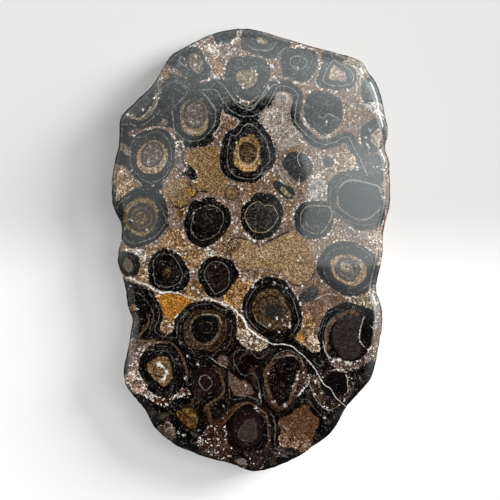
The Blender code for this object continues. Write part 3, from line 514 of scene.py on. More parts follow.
pattern["patches"] = [  # tone, share of specks, edge
    ("orange", 0.4, [(-21, 96.5), (-17, 96), (-14.5, 92), (-15, 88.5), (-17, 87.5), (-19.5, 91)]),
    ("calcite", 0.5, [(-22.5, 103), (-19, 102.5), (-16, 99), (-15.5, 97.3), (-18, 97), (-20.5, 98.5),
        (-21.8, 100)]),
    ("calcite", 0.5, [(-13.5, 96.5), (-9, 100.8), (-7.5, 100.3), (-12, 96.8)]),
    ("pocket", -0.4, [(14, 78.8), (17, 79), (19, 77.5), (20.5, 74.5), (19.5, 70), (17, 72), (12, 72),
        (9, 70.5), (12.5, 77.5)]),
    ("calciteMix", -0.08, [(3.5, 66), (7, 70), (12, 72.5), (17, 73), (19.5, 70), (20, 65), (22, 61), (26, 57),
        (24, 53.5), (20, 51), (13.5, 50.5), (10.8, 58)]),
    ("dustyPink", 0.3, [(-61.5, 59), (-57.5, 60.5), (-55.5, 59.5), (-58, 57.5), (-61, 57)]),
    ("dustyPink", 0.3, [(-44.5, 65.3), (-42, 65.5), (-41.5, 63), (-42.5, 62), (-44.5, 63)]),
    ("brownGrey", 0.3, [(-65, 53.5), (-62.5, 52.5), (-60.5, 50), (-60.5, 47), (-63.5, 48), (-65, 50.5)]),
    ("dustyPink", 0.5, [(-37, 54.5), (-34, 54), (-33, 50), (-34.5, 45), (-34, 41), (-37, 38.5), (-38, 45)]),
    ("orangeBrown", 0.5, [(-69, 37), (-66, 41), (-63, 41), (-61, 36), (-58, 35), (-54, 32), (-58, 31),
        (-62, 28.5), (-65.5, 25.5), (-68, 25), (-67, 30)]),
    ("redBrown", 0.45, [(-14, 66.5), (-11.5, 67.5), (-8.5, 66), (-6.5, 64), (-7, 62), (-13.5, 58.8),
        (-19.5, 55), (-18.5, 57), (-16, 60)]),
    ("ochre", 0.12, [(-33, 47.5), (-31.5, 49.5), (-24, 51), (-19.5, 51.5), (-16.5, 50.5), (-16, 43),
        (-15, 39.5), (-12.5, 36.5), (-11.5, 34), (-13, 31.5), (-12.5, 28.5), (-14, 27), (-18, 27.5),
        (-20, 29.5), (-23, 29.8), (-26, 29.2), (-27, 33), (-26, 38.5), (-27.5, 40.5), (-30, 42),
        (-32.5, 44.5)]),
    ("ochre", 0.12, [(-43, 31), (-42, 33), (-40, 35), (-37, 36.3), (-34, 36.3), (-32, 35.5), (-30.5, 31),
        (-28, 28.5), (-31, 26), (-31, 23), (-34, 21.5), (-37, 21), (-40, 22.5), (-43, 28)]),
    ("orangeOchre", 0.1, [(-31, 32), (-29, 30.5), (-27.5, 29), (-28.5, 27.5), (-30.5, 28)]),
    ("ochreDim", 0.1, [(-12.9, 28.7), (-11.9, 31.1), (-9.5, 32.1), (-7.1, 31.1), (-6.1, 28.7), (-7.1, 26.3),
        (-9.5, 25.3), (-11.9, 26.3)]),
    ("ochreWide", 0.1, [(-11, 1), (-10, 3.5), (-8, 5), (-5, 5.3), (-2.5, 5), (0, 3.8), (2.5, 1.5), (6, 2),
        (19.5, 9), (22.5, 9), (28, 4), (32, 2), (31, -11), (30, -14), (28, -16), (25, -17.3), (22, -17),
        (19.5, -15.5), (17, -12), (12, -10), (6, -9), (-4, -8.5), (-6.5, -6.5), (-8, -4), (-10, -2)]),
    ("pinkGrey", 0.35, [(-5, -8.5), (5, -10), (12, -10.5), (16, -12), (12, -13), (8, -12.5), (2, -15),
        (-1, -15), (-3.5, -13.5), (-5, -11)]),
    ("amberPale", 0.6, [(-17, 1), (-14, 2), (-12.5, 0), (-15, -1.5)]),
    ("calciteGrey", 0.5, [(-23, 0), (-20, 0.7), (-17.5, -1.5), (-19, -3), (-21.5, -2.8)]),
    ("amberPale", 0.45, [(-45.5, 5.5), (-43, 8.5), (-40, 10.5), (-37, 11), (-34.5, 9), (-33.5, 5), (-31, 2),
        (-27, 0), (-22.5, -0.5), (-22.5, -2.5), (-25, -4.5), (-29, -10), (-31, -8), (-37, 0), (-42, 1.5),
        (-45, 3)]),
    ("rosy", 0.12, [(-41, 19), (-38, 20.5), (-35.5, 18), (-36, 13), (-38, 12), (-41, 13)]),
    ("redDim", 0.4, [(-37, 20), (-33, 21), (-31, 24), (-34, 17), (-35, 14)]),
    ("calciteGrey", 0.6, [(-63, 0.5), (-53, 0), (-52.5, -2), (-52.5, -6), (-54, -8), (-55.3, -6), (-56, -3.5),
        (-58.5, -1), (-62, -0.3)]),
    ("calciteGrey", 0.6, [(-65, 4), (-63, 2.5), (-62, 1)]),
    ("orangeBrown", 0.5, [(-52.5, 2), (-49.5, 2.5), (-49, 0), (-51, -2), (-52, -4)]),
    ("orangeBrown", 0.5, [(-55, -9), (-53, -9), (-51.5, -12), (-51.5, -15.5), (-55, -14.5), (-56.5, -12)]),
    ("amber", 0.12, [(-47.5, -22), (-44.5, -28), (-43.5, -31), (-41, -34.5), (-39, -34.5), (-30.5, -26.3),
        (-28, -25.8), (-36, -22.5)]),
    ("oliveMix", 0.6, [(-44.5, -36), (-45, -39.5), (-43, -41), (-40, -41.2), (-39, -39), (-38.5, -36.5),
        (-39, -35)]),
    ("amberDim", 0.5, [(-30, -15), (-27, -15.5), (-23.5, -20), (-22.3, -22.5), (-22.5, -24), (-25, -25),
        (-28, -24.5), (-31, -23.5), (-36, -20.8), (-33.5, -20), (-31.5, -18)]),
    ("amberMid", 0.5, [(-10.5, -19.5), (-8.5, -16.5), (-6.5, -14.5), (-5, -14), (-2, -16), (1, -15),
        (0, -17.5), (-2, -20.5), (-4, -25), (-4.8, -28), (-6, -29), (-8, -29.8), (-14, -25), (-14.2, -23.5)]),
    ("calciteWarm", 0.6, [(-8, -30.5), (-5.5, -31), (-4.5, -33), (-2.5, -37), (-1, -39.5), (-4, -39.8),
        (-6.3, -40), (-7, -36), (-7.5, -33)]),
    ("oliveBrown", 0.6, [(-7.5, -42.5), (-6.5, -40.5), (-3, -40), (8, -46), (5.5, -50), (2, -50.3), (-1, -49),
        (-6.5, -45)]),
    ("rustBrown", 0.2, [(20, -18), (24, -18), (28, -16), (33, -15), (41, -20), (47, -25), (40, -28.5),
        (36.5, -32), (34.5, -36), (33.5, -40), (32.5, -45), (32.5, -51), (30, -50.5), (22.5, -44.5),
        (26, -39.5), (26.5, -35), (25.5, -27.5), (33, -25), (34, -22), (32, -18.5)]),
    ("paleMix", 0.6, [(46, -23.5), (50, -24), (56, -23), (60, -20), (63, -22), (64, -27), (62, -29.5),
        (57, -27.5), (48.5, -25.5)]),
    ("bandRust", 0.65, [(-62.9, -64.6), (-60, -62.5), (-58.3, -60.2), (-56.7, -63.5), (-51.9, -69.3),
        (-49, -71.8), (-46.1, -73.5), (-42.8, -74.5), (-40.3, -73.9), (-32.7, -68.7), (-30.5, -71),
        (-30.2, -72.9), (-32, -74.3), (-34.9, -73.5), (-37.9, -73.9), (-42, -77.8), (-44.5, -78.2),
        (-53.6, -73.1), (-56.5, -71.8), (-58.1, -72), (-60.4, -70.2), (-62.1, -67.3)]),
    ("brownMix", 0.5, [(-60, -45), (-56, -45), (-52, -46), (-53, -49), (-56, -53), (-57.5, -57), (-60, -60),
        (-59, -52)]),
    ("brownMix", 0.5, [(-46.8, -88.8), (-44.5, -87.1), (-41.2, -85.9), (-37.9, -89.6), (-37.9, -93.4),
        (-40.3, -94.8), (-43.6, -93.4)]),
    ("brownDark", 0.55, [(-26.6, -95.8), (-23.4, -90.5), (-20.9, -88), (-17, -87.5), (-14, -86.5),
        (-12.5, -88.5), (-12, -95), (-10, -98.5), (-8, -100.5), (-9, -102.5), (-12, -105), (-16, -104.5),
        (-22.1, -101.7), (-25.4, -99.2)]),
    ("roseDark", 0.2, [(-17, -55.5), (-15.5, -53), (-13.5, -52.5), (-12, -54), (-11.5, -57), (-13, -58.5)]),
    ("roseDark", 0.12, [(-10.8, -61.9), (-8.6, -62.7), (-6.1, -64.6), (-2.8, -66.1), (0.1, -68.1), (1, -70.6),
        (0.6, -72.3), (-8.6, -72.3)]),
    ("warmBrown", 0.08, [(13.8, -85.5), (15.5, -83.9), (19.6, -82.2), (25.4, -77.9), (28.9, -78.9),
        (31.4, -82.7), (34.7, -85.1), (31.8, -91), (29.8, -98), (26.5, -101.8), (21.9, -99.3), (18.8, -98.9),
        (15.9, -97.2), (14, -94.3), (15, -91.4)]),
    ("roseDeep", 0.3, [(0.6, -101.3), (3.1, -103), (5.9, -105.5), (3.1, -109.2), (1, -110), (2, -106),
        (0, -103)]),
    ("tan", 0.3, [(35.6, -61.9), (38.9, -60.9), (38.9, -62.7), (36, -64)]),
    ("tanPale", 0.5, [(14.6, -92), (18, -90.4), (22, -92.6), (26, -92), (29.6, -94.6), (30, -98),
        (26.5, -101), (21, -99), (14.4, -97.5)]),
    ("matrixDim", 0.4, [(-13, 8), (-9, 8), (-6, 4), (-6, 0.5), (-9, -1.5), (-13, -2), (-16.5, 0.5),
        (-14.5, 4)]),
    ("brownMix", 0.75, [(22.6, -62), (25.2, -62.6), (25.2, -67), (24.4, -70.4), (21, -70.6), (20.8, -68.8),
        (22.2, -65.6)]),
    ("ringGold", 0.3, [(25.6, -63.4), (28, -62), (31, -62.6), (31, -64.6), (28, -66.4), (26, -69)]),
    ("brownMix", 0.55, [(39, -53.5), (48, -56), (53, -55.5), (57, -52.5), (60, -48), (62, -50), (60, -55),
        (55, -58.5), (50, -60), (44, -59.5), (40, -57)]),
    ("brownSoft", 0.4, [(34.5, -62), (38, -59.5), (43, -59), (48, -61), (51, -66), (50.5, -71), (47, -75.5),
        (42, -78.6), (37, -78.4), (34.6, -74), (37, -73), (43.5, -74), (47.5, -71), (48.5, -67), (47.5, -63),
        (43.5, -60.6), (39.5, -61), (36, -64)]),
    ("calciteGrey", 0.5, [(57.5, 73), (60.5, 74), (64.5, 73.5), (66.2, 71), (66.8, 68.5), (65.5, 67),
        (62, 68.5), (59, 70)]),
    ("amber", 0.3, [(23, -43), (24.4, -41.4), (26.4, -43), (26.6, -46), (24.4, -46.4)]),
    ("goldChip", 0.85, [(27, -42), (30, -41), (33, -43.5), (34.4, -50), (31.5, -50.6), (29, -46.5),
        (26.5, -44.5)]),
    ("brownDeep", 0.4, [(25.2, -56.1), (26.1, -61.5), (33, -63), (34.8, -67.7), (36.8, -76), (39.7, -78.1),
        (43.4, -76.4), (44.5, -77), (43, -79), (40, -79.8), (37, -79), (34.5, -77), (30, -69), (29.5, -66),
        (26, -64.5)]),
    ("amberDim", 0.5, [(27, -30), (30, -32), (32, -36), (31, -41), (29, -43), (27, -41), (26.6, -36)]),
    ("smear", 0.3, [(23.8, -24), (26, -20.5), (29, -18.6), (32.5, -18.4), (33.8, -20.4), (33, -23),
        (30.5, -25.4), (27, -26.4), (24.4, -26)]),
    ("rimCream", 0.35, [(46, 94.5), (50, 96.6), (57, 94), (59.4, 89), (57.6, 85.4), (55, 87), (52, 90.5),
        (48, 92.5)]),
    ("webTan", 0.3, [(-48.6, 86), (-48.6, 76), (-51.6, 70.5), (-55, 67), (-59, 67.5), (-62, 69.5),
        (-61, 66.5), (-57, 64.8), (-53, 65.2), (-49.6, 68), (-47.2, 72), (-45.6, 76), (-43.4, 85),
        (-40.6, 87.4), (-44, 89.5)]),
    ("paleRust", 0.6, [(-62, -62.5), (-59.3, -60.4), (-57, -64.5), (-53.5, -69.5), (-56, -71.8),
        (-60, -68.5)]),
    # painted reflection: the three haze patches lighten places where the polish shows the softbox veil
    ("paintedHaze", 0.42, [(29.4, 35.4), (32, 38), (35.4, 37.4), (37.8, 34), (38, 28), (36, 25.4), (31.4, 25),
        (28.8, 28), (28.8, 32)]),
    ("paintedHazeGold", 0.6, [(42.6, 48.6), (46, 50), (50, 48.6), (52.2, 45), (51.8, 41.8), (43.6, 38.8),
        (40.6, 39.2), (42.6, 41.6), (43, 45)]),
    ("paintedHazeRight", 0.5, [(58.5, 8.5), (64.5, 9.5), (65.6, 4), (65.4, -2), (64, -8), (62.6, -6), (62, -1),
        (60.4, 2), (57.4, 5)]),
    ("chipBrown", 0.8, [(24, -60.5), (26.5, -61), (29, -62.5), (29.6, -66), (27.6, -69), (24.6, -72),
        (21.4, -74.4), (19.8, -73.6), (22.4, -67.6)]),
    ("orange", 0.4, [(-45.6, 88.6), (-42.4, 89.4), (-40.8, 87.6), (-43, 85.2), (-46.2, 84.6)]),
    ("rimRed", 0, [(-72, -54), (-65.3, -53), (-65.6, -60), (-65.2, -65), (-63.6, -68), (-72, -68)]),
    ("rimRed", 0, [(-60, -75), (-53.9, -75.5), (-51.5, -79), (-50.3, -83.5), (-51, -86), (-58, -86)]),
    ("brownSoft", 0.3, [(1.9, -77.6), (6.5, -80.8), (9, -85.2), (10.2, -90), (10.2, -97.6), (16, -102.8),
        (13, -103.4), (9, -100.6), (8.2, -104.5), (4, -110.8), (0, -110.4), (-0.6, -103.4), (-3.4, -101.8),
        (-2.7, -100.6), (3, -100.8), (6, -99.6), (8, -96), (8.2, -90), (7, -85), (4.6, -81.6), (1, -79)]),
    ("rustDim", 0.2, [(-23.4, -78), (-21, -77.4), (-19.4, -84), (-16.4, -85), (-13, -82.6), (-10.4, -79.4),
        (-6, -76.6), (-2.3, -75.7), (-2.4, -77.2), (-5.6, -78.3), (-9.4, -81.6), (-12.4, -85.4), (-13.6, -88),
        (-20.4, -87), (-22.2, -83)]),
    ("greySmooth", 0.1, [(-59, -31), (-57, -32), (-56.2, -35), (-57, -38), (-59, -40), (-60, -44)]),
]
pattern["calcite"] = [
    [(-8.2, 12), (-6.2, 12), (-6.2, 10.5), (-7, 9.5), (-8, 8.3), (-8.8, 9.5), (-7.8, 10.5)],
    [(-47, -55.6), (-44.6, -56.8), (-41.9, -59.6), (-41.6, -62), (-42.8, -64.6), (-44.3, -66), (-45.2, -65),
        (-44.2, -63.6), (-43.2, -61.6), (-43.6, -60), (-45.4, -58.4), (-47.4, -57.6)],
]
pattern["spots"] = [(-33.4, 95.4, 0.6), (-32.6, 92.6, 0.5), (-34.4, 90.6, 0.5), (-27.4, 96.4, 0.6),
    (-25.6, 90.6, 0.6), (-20, -36.6, 0.4), (23.4, -64.6, 0.5), (24.8, -67.2, 0.4), (22.2, -70.4, 0.5),
    (26.4, -64, 0.3), (-20, -88.6, 0.5), (-22.4, -92, 0.5), (-16.4, -94.6, 0.4), (-19.6, -97.4, 0.5),
    (-13.6, -99.4, 0.5), (-25, -97.2, 0.6), (-14.4, -90, 0.4), (-20.8, -102, 0.5), (-18, -90.4, 0.4),
    (-24, -95, 0.5), (-22, -99.6, 0.5), (-17.6, -100.8, 0.4), (-13, -95, 0.4), (-20.8, -94.6, 0.4),
    (-15.4, -97.2, 0.4), (-28, 92.5, 0.7), (-26.7, 88.7, 0.7), (0.3, 90.2, 0.7), (2.2, 89.5, 0.8),
    (3, 88, 0.6), (-0.2, 85.8, 0.7), (-4, 83.3, 0.6), (-4.2, 81.3, 0.6), (0.8, 83.2, 0.6), (-5.5, 74, 0.7),
    (23.5, 90.5, 0.8), (22, 83.8, 0.7), (7.6, 65.4, 1.2), (8.2, 68, 1), (10.4, 69.6, 1.1), (13, 70, 1.1),
    (15.6, 68.8, 0.8), (17.4, 66.4, 0.8), (16.4, 61.6, 0.8), (13, 59.8, 1), (10, 60.6, 1), (8, 62.8, 1.1),
    (11.6, 66.4, 0.6), (20, 57, 0.8), (22.6, 58.6, 0.9), (18, 54.6, 0.8), (24, 55, 0.7), (14.6, 55.6, 0.8),
    (11.8, 57.4, 0.8), (21, 61, 0.6), (26, 54, 0.7), (17.6, 76.6, 0.6), (14.4, 74, 0.5), (38.5, 57, 1.2),
    (26.8, 63, 0.8), (29, 61.5, 0.8), (37.8, 64, 0.7), (59.5, 60, 0.8), (57.2, 56.2, 0.7), (58, 52.8, 0.7),
    (58.8, 51, 0.6), (63, 41.4, 0.8), (58, 38, 0.6), (66, 26, 1), (41, 7.8, 0.6), (27.5, 7, 0.5),
    (12, 37.3, 0.9), (22, 26.5, 0.6), (33, -24, 0.6), (19.3, -38, 1), (17, -37.5, 0.7), (13, -34, 0.7),
    (16, -35, 0.6), (18, -33.5, 0.6), (61.5, -39, 0.8), (44, -55, 1.2), (48, -56.5, 1), (41, -55.5, 0.9),
    (45.5, -60, 0.9), (-18, -8.5, 0.5), (-28.5, 18.2, 0.6), (-52, 10.2, 0.6), (-51.5, 13.5, 0.5),
    (-61, 15, 0.5), (-59.5, 14.8, 0.5), (-63, 11, 0.6), (-51.5, 44, 0.9), (-29, 70, 0.7), (-29.5, 63.7, 0.6),
    (-7.5, 54, 0.5), (-26.7, -57, 0.7), (2.5, -78.6, 0.6), (-14, -78, 0.5), (8.6, -61.5, 0.7),
    (11.5, -76, 0.7), (17, -77.5, 0.8), (32.3, -65.6, 1.1), (-56.8, -29.5, 0.8), (-47.3, 77, 0.7),
    (-54, 70.3, 0.7), (-59.3, 67, 0.7), (-62, 67.5, 0.6), (-45, 85.5, 1.2), (-9, 104.5, 0.9),
    (-6.4, 106.5, 0.9), (-15, 103, 1), (-18.5, 86.5, 0.8), (-16.5, 86.3, 0.7), (1.5, 97.2, 0.7),
    (-4.5, 98, 0.7), (8.5, 81.5, 0.8), (14, 84, 0.9), (10.5, 92, 1), (12, 86.5, 0.9), (-34, 51.8, 0.8),
    (-59.5, 40, 0.8), (-59, 36.5, 0.7), (-49, 32.3, 0.7), (-39.5, 58.3, 0.7), (-11, 33.5, 0.6),
    (-9, 32.8, 0.6), (-6.5, 31.5, 0.6), (-5, 30.5, 0.7), (4.5, -2.5, 0.6), (6, -3.5, 0.6), (8, -2.8, 0.6),
    (8.8, -2, 0.5), (-4, -2.8, 0.6), (24.5, -3.5, 0.5), (23.5, -5, 0.5), (22, -8, 0.5), (24, -9, 0.5),
    (15, -12.3, 0.6), (-4, -14.8, 0.9), (-32.5, -2, 0.8), (-38, -0.8, 0.7), (-41.5, 0.3, 0.7),
    (-47.5, 2.5, 0.7), (-9, 21.5, 0.7), (-7, 16, 0.7), (18.5, 16.2, 0.9), (-40.5, -38, 0.9), (-29, -19, 0.8),
    (-26, -21, 0.8), (-2, -43, 1.1), (0, -46, 1.2), (3, -46, 1.2), (-46, -23, 0.9), (18, -19, 0.6),
    (-58.5, -60.5, 0.9), (-36.6, -73.3, 0.8), (-33.5, -72.4, 0.8), (-50, -74, 0.8), (-43, -77.8, 0.8),
    (26.2, -61.4, 0.5), (12.2, -76.2, 0.8), (9.6, -37.6, 0.7), (14, -41.2, 0.6), (1, -18.5, 0.7),
    (11.6, -16.6, 0.8), (2.7, -78.7, 0.8), (-60.2, -18, 0.4), (-20.6, -71.4, 0.4), (-32.8, -64, 0.7),
    (-31.5, -53, 0.7), (-56, -49.5, 0.9), (-57.5, -52, 0.9), (-36, -91.5, 0.8), (-33.5, -92.6, 0.8),
    (-2.3, -68.2, 0.6), (36.8, -83.9, 0.6), (-3.7, -109, 0.6), (-22.6, 101.6, 1.2), (-20.6, 100.2, 1.1),
    (-18.6, 98.6, 0.7)]  # x, y, radius
pattern["vein"] = [(-63, -14), (-60, -14.3), (-55.5, -16.5), (-52.5, -17.2), (-48.5, -20), (-44.5, -21.5),
    (-42.5, -21.3), (-41, -20.8), (-38, -21.3), (-35, -22), (-32.5, -23.3), (-30, -24.3), (-27.5, -25),
    (-25, -25), (-22.5, -24), (-14.5, -26.5), (-8, -29.8), (-6.5, -32), (-5, -33), (-3.5, -35), (-2.5, -37.5),
    (-1.5, -39.3), (1, -41), (4, -43.5), (7, -45), (9.5, -46.7), (12.5, -47.2), (16, -47), (18.5, -47.5),
    (21, -48.6), (27.3, -54), (32.3, -59.9), (34.5, -64), (36.9, -67.4), (39.8, -69.4), (41.4, -72.3),
    (43.9, -75.2), (47.6, -78.3)]
pattern["veinWidth"] = [(-63, 0.38), (-50, 0.3), (-44.5, 0.55), (-38, 0.18), (-22, 0.18), (-9, 0.32),
    (-5, 0.52), (5, 0.42), (10, 0.24), (24, 0.2), (48, 0.16)]  # x, half width, mm

tones = {
    "dustyTan": (96, 83, 65), "dustyPale": (128, 110, 91), "dustyGold": (118, 101, 78),
    "palePink": (142, 124, 105), "slateBlue": (26, 32, 36), "dustyOlive": (92, 72, 51),
    "ashGrey": (75, 62, 48), "charcoal": (37, 33, 28), "bronze": (133, 115, 92), "umber": (65, 49, 34),
    "pepper": (40, 38, 35), "ashBrown": (46, 41, 37), "umberDeep": (90, 73, 56), "blackCore": (12, 9, 7),
    "darkBrown": (24, 17, 10), "dimGold": (44, 30, 12), "greyUmber": (39, 25, 6), "mutedGold": (76, 53, 22),
    "greyBrown": (81, 69, 55), "warmUmber": (76, 59, 42), "goldBrown": (106, 81, 53), "maroon": (30, 15, 13),
    "oliveGold": (77, 52, 22), "ashWarm": (61, 46, 36), "greenGrey": (95, 84, 72),
    "greenGold": (117, 103, 91), "goldSpot": (113, 87, 57), "goldPale": (137, 114, 86),
    "goldDim": (98, 79, 49), "goldDusty": (132, 111, 81), "goldMid": (113, 98, 75), "gold": (143, 112, 71),
    "brownGold": (66, 49, 30), "brownDim": (48, 33, 23), "pale": (118, 116, 106), "greyLine": (96, 92, 88),
    "brownLine": (92, 70, 50), "white": (190, 184, 172), "cream": (158, 142, 116), "darkLine": (26, 18, 12),
    "ringDark": (37, 29, 16), "ringBrown": (50, 31, 25), "ringGold": (121, 91, 48), "orange": (138, 106, 76),
    "calcite": (160, 145, 127), "pocket": (144, 128, 118), "calciteMix": (142, 128, 116),
    "dustyPink": (84, 66, 54), "brownGrey": (93, 77, 58), "orangeBrown": (119, 92, 65),
    "redBrown": (113, 89, 71), "ochre": (120, 94, 60), "orangeOchre": (168, 124, 59),
    "ochreDim": (104, 82, 53), "ochreWide": (136, 109, 75), "pinkGrey": (105, 82, 61),
    "amberPale": (128, 97, 67), "calciteGrey": (142, 133, 118), "rosy": (117, 98, 79), "redDim": (85, 55, 19),
    "webTan": (75, 69, 63), "smear": (52, 49, 47), "rimCream": (127, 113, 96), "rimRed": (22, 6, 6),
    "coreGrey": (58, 47, 40), "rustDim": (52, 32, 19), "brownSoft": (38, 26, 19), "tanPale": (98, 70, 50),
    # the haze tones are painted reflection, pale tones that stand in for the softbox veil on the polish
    "paleRust": (154, 126, 104), "paintedHaze": (128, 118, 108), "paintedHazeGold": (119, 92, 67),
    "paintedHazeRight": (141, 117, 93), "chipBrown": (68, 45, 29), "matrixDim": (96, 73, 49),
    "goldChip": (90, 67, 42), "amber": (150, 98, 35), "oliveMix": (127, 97, 69), "amberDim": (107, 78, 51),
    "amberMid": (118, 84, 51), "calciteWarm": (81, 51, 20), "oliveBrown": (117, 95, 71),
    "rustBrown": (107, 81, 62), "paleMix": (90, 70, 48), "bandRust": (57, 31, 19), "brownMix": (85, 66, 53),
    "brownDark": (51, 29, 19), "roseDark": (87, 66, 53), "warmBrown": (83, 56, 35), "roseDeep": (76, 55, 44),
    "tan": (98, 72, 47), "brownDeep": (48, 33, 17), "greySmooth": (76, 62, 52),
}


# from sRGB to the linear base color
def linear(rgb):
    c = np.array(rgb, float) / 255
    return np.where(c <= 0.04045, c / 12.92, ((c + 0.055) / 1.055) ** 2.4) / pattern["toneLight"]


# from b to c, with a before and d behind
def spline(a, b, c, d, t):
    return 0.5 * (2 * b + (c - a) * t + (2 * a - 5 * b + 4 * c - d) * t ** 2 + (3 * b - a - 3 * c + d) * t ** 3)


def smoothed(points, closed, parts=4):
    p = np.array(points, float)
    if len(p) < 3:
        return p
    if closed:
        ends = [np.roll(p, k, axis=0) for k in (1, 0, -1, -2)]
    else:
        q = np.vstack([2 * p[0] - p[1], p, 2 * p[-1] - p[-2]])
        ends = q[:-3], q[1:-2], q[2:-1], q[3:]
    t = (np.arange(parts) / parts)[None, :, None]
    out = spline(*(v[:, None, :] for v in ends), t).reshape(-1, 2)
    return out if closed else np.vstack([out, p[-1]])


# distance to a path, side of it, length along it and its whole length
def pathDistance(points, path, closed):
    a = path if closed else path[:-1]
    b = np.roll(path, -1, axis=0) if closed else path[1:]
    best = np.full(len(points), 1e9)
    side = np.zeros(len(points))
    along = np.zeros(len(points))
    length = np.hypot(*(b - a).T)
    start = np.concatenate([[0], np.cumsum(length)[:-1]])
    for i in range(len(a)):
        d = b[i] - a[i]
        w = points - a[i]
        t = np.clip((w @ d) / max(d @ d, 1e-12), 0, 1)
        e = w - t[:, None] * d
        dist = np.hypot(e[:, 0], e[:, 1])
        near = dist < best
        best[near] = dist[near]
        side[near] = np.sign(d[0] * w[near, 1] - d[1] * w[near, 0])
        along[near] = start[i] + t[near] * length[i]
    return best, side, along, length.sum()


def insideOf(points, path):
    x, y = points[:, 0], points[:, 1]
    inside = np.zeros(len(points), bool)
    for (x0, y0), (x1, y1) in zip(path, np.roll(path, -1, axis=0)):
        crosses = (y0 > y) != (y1 > y)
        inside ^= crosses & (x < (x1 - x0) * (y - y0) / ((y1 - y0) or 1e-9) + x0)
    return inside


def around(points, path, reach):
    return np.all((points > path.min(0) - reach) & (points < path.max(0) + reach), axis=1)


def pathField(points, path, level, reach):
    near = around(points, path, reach)
    field = np.full(len(points), -reach)
    if near.any():
        field[near] = np.maximum(level(points[near]), -reach)
    return field


# mm inside an outline, negative outside
def regionField(points, outline, reach=pattern["reach"], parts=4):
    path = smoothed(outline, True, parts)
    level = lambda p: np.where(insideOf(p, path), 1.0, -1.0) * pathDistance(p, path, True)[0]
    return pathField(points, path, level, reach)


def strokeField(points, halfWidth, run):
    path = smoothed(run, False)
    return pathField(points, path, lambda p: halfWidth - pathDistance(p, path, False)[0], pattern["reach"])


# slab mesh: radius at each angle, for each ring of points in the side of the solid
def edgeRings(node):
    tiny = 1e-5
    co = np.array([v.co for v in node.data.vertices])
    heights = []
    for z in np.sort(co[:, 2]):
        if not heights or z - heights[-1] > tiny:
            heights.append(z)
    turn = np.linspace(-math.pi, math.pi, slab["angles"], endpoint=False)
    rows = []
    for z in heights:
        ring = co[np.abs(co[:, 2] - z) < tiny / 2][:, :2]
        angle = np.arctan2(ring[:, 1], ring[:, 0])
        order = np.argsort(angle)
        angle, radius = angle[order], np.hypot(ring[:, 0], ring[:, 1])[order]
        keep = np.concatenate([[True], np.diff(angle) > tiny])
        rows.append(np.interp(turn, angle[keep], radius[keep], period=2 * math.pi))
    return turn, np.array(heights), np.array(rows)


def circularSmooth(row, sigma):
    reach = int(4 * sigma) + 1
    k = np.arange(-reach, reach + 1)
    w = np.exp(-0.5 * (k / sigma) ** 2)
    w /= w.sum()
    return sum(wi * np.roll(row, int(ki)) for wi, ki in zip(w, k))


# waves of about one size that run all ways, mostly within -1 and 1
def waves(x, y, z, seed, size, count=7, sizes=(0.6, 1.7)):
    rng = np.random.default_rng(seed)
    total = np.zeros(np.shape(x))
    for _ in range(count):
        way = rng.normal(size=3)
        way /= np.linalg.norm(way)
        f = 2 * math.pi / (size * rng.uniform(*sizes))
        phase = rng.uniform(0, 6.28)
        total += np.sin(f * (way[0] * x + way[1] * y + way[2] * z) + phase)
    return total / math.sqrt(count)


def flatWaves(p, wave):
    return waves(p[:, 0], p[:, 1], 0 * p[:, 0], wave["seed"], wave["size"])


# points in rows inside a rim, clear of it
def hexPoints(rim, step, clear=0.6):
    low, high = rim.min(0), rim.max(0)
    rowStep = step * math.sqrt(3) / 2
    found = []
    for j, y in enumerate(np.arange(low[1] + rowStep, high[1], rowStep)):
        x = np.arange(low[0] + step * (0.5 if j % 2 else 1.0), high[0], step)
        found.append(np.column_stack([x, np.full(len(x), y)]))
    p = np.vstack(found)
    rimAngle = np.arctan2(rim[:, 1], rim[:, 0])
    order = np.argsort(rimAngle)
    angle = np.arctan2(p[:, 1], p[:, 0])
    reach = np.interp(angle, rimAngle[order], np.hypot(*rim[order].T), period=2 * math.pi)
    return p[np.hypot(p[:, 0], p[:, 1]) < reach - clear * step]


def capMesh(rim, step):
    inner = hexPoints(rim, step)
    verts = [Vector(p) for p in np.vstack([rim, inner])]
    n = len(rim)
    edges = [(i, (i + 1) % n) for i in range(n)]
    _, _, faces, origin, _, _ = geometry.delaunay_2d_cdt(verts, edges, [], 1, 1e-9)
    back = [o[0] for o in origin]
    return inner, [tuple(back[i] for i in f) for f in faces]


# weathered hollows in the natural side
def pitted(skin, walk, z):
    pits = slab["pits"]
    rng = np.random.default_rng(pits["seed"])
    for _ in range(pits["count"]):
        at = rng.uniform(walk[0], walk[-1])
        height, size = rng.uniform(*pits["heights"]), rng.uniform(*pits["size"])
        apart = np.hypot(walk - at, (z - height) * pits["flat"]) / size
        skin = skin + pits["depth"] / slab["sideRelief"] * rng.uniform(*pits["level"]) * np.exp(-apart ** 4)
    return skin


def gridFaces(rows, columns, closed=False):
    across = columns if closed else columns - 1
    faces = []
    for j in range(rows - 1):
        a, b = j * columns, (j + 1) * columns
        faces += [(a + i, a + (i + 1) % columns, b + (i + 1) % columns, b + i) for i in range(across)]
    return faces


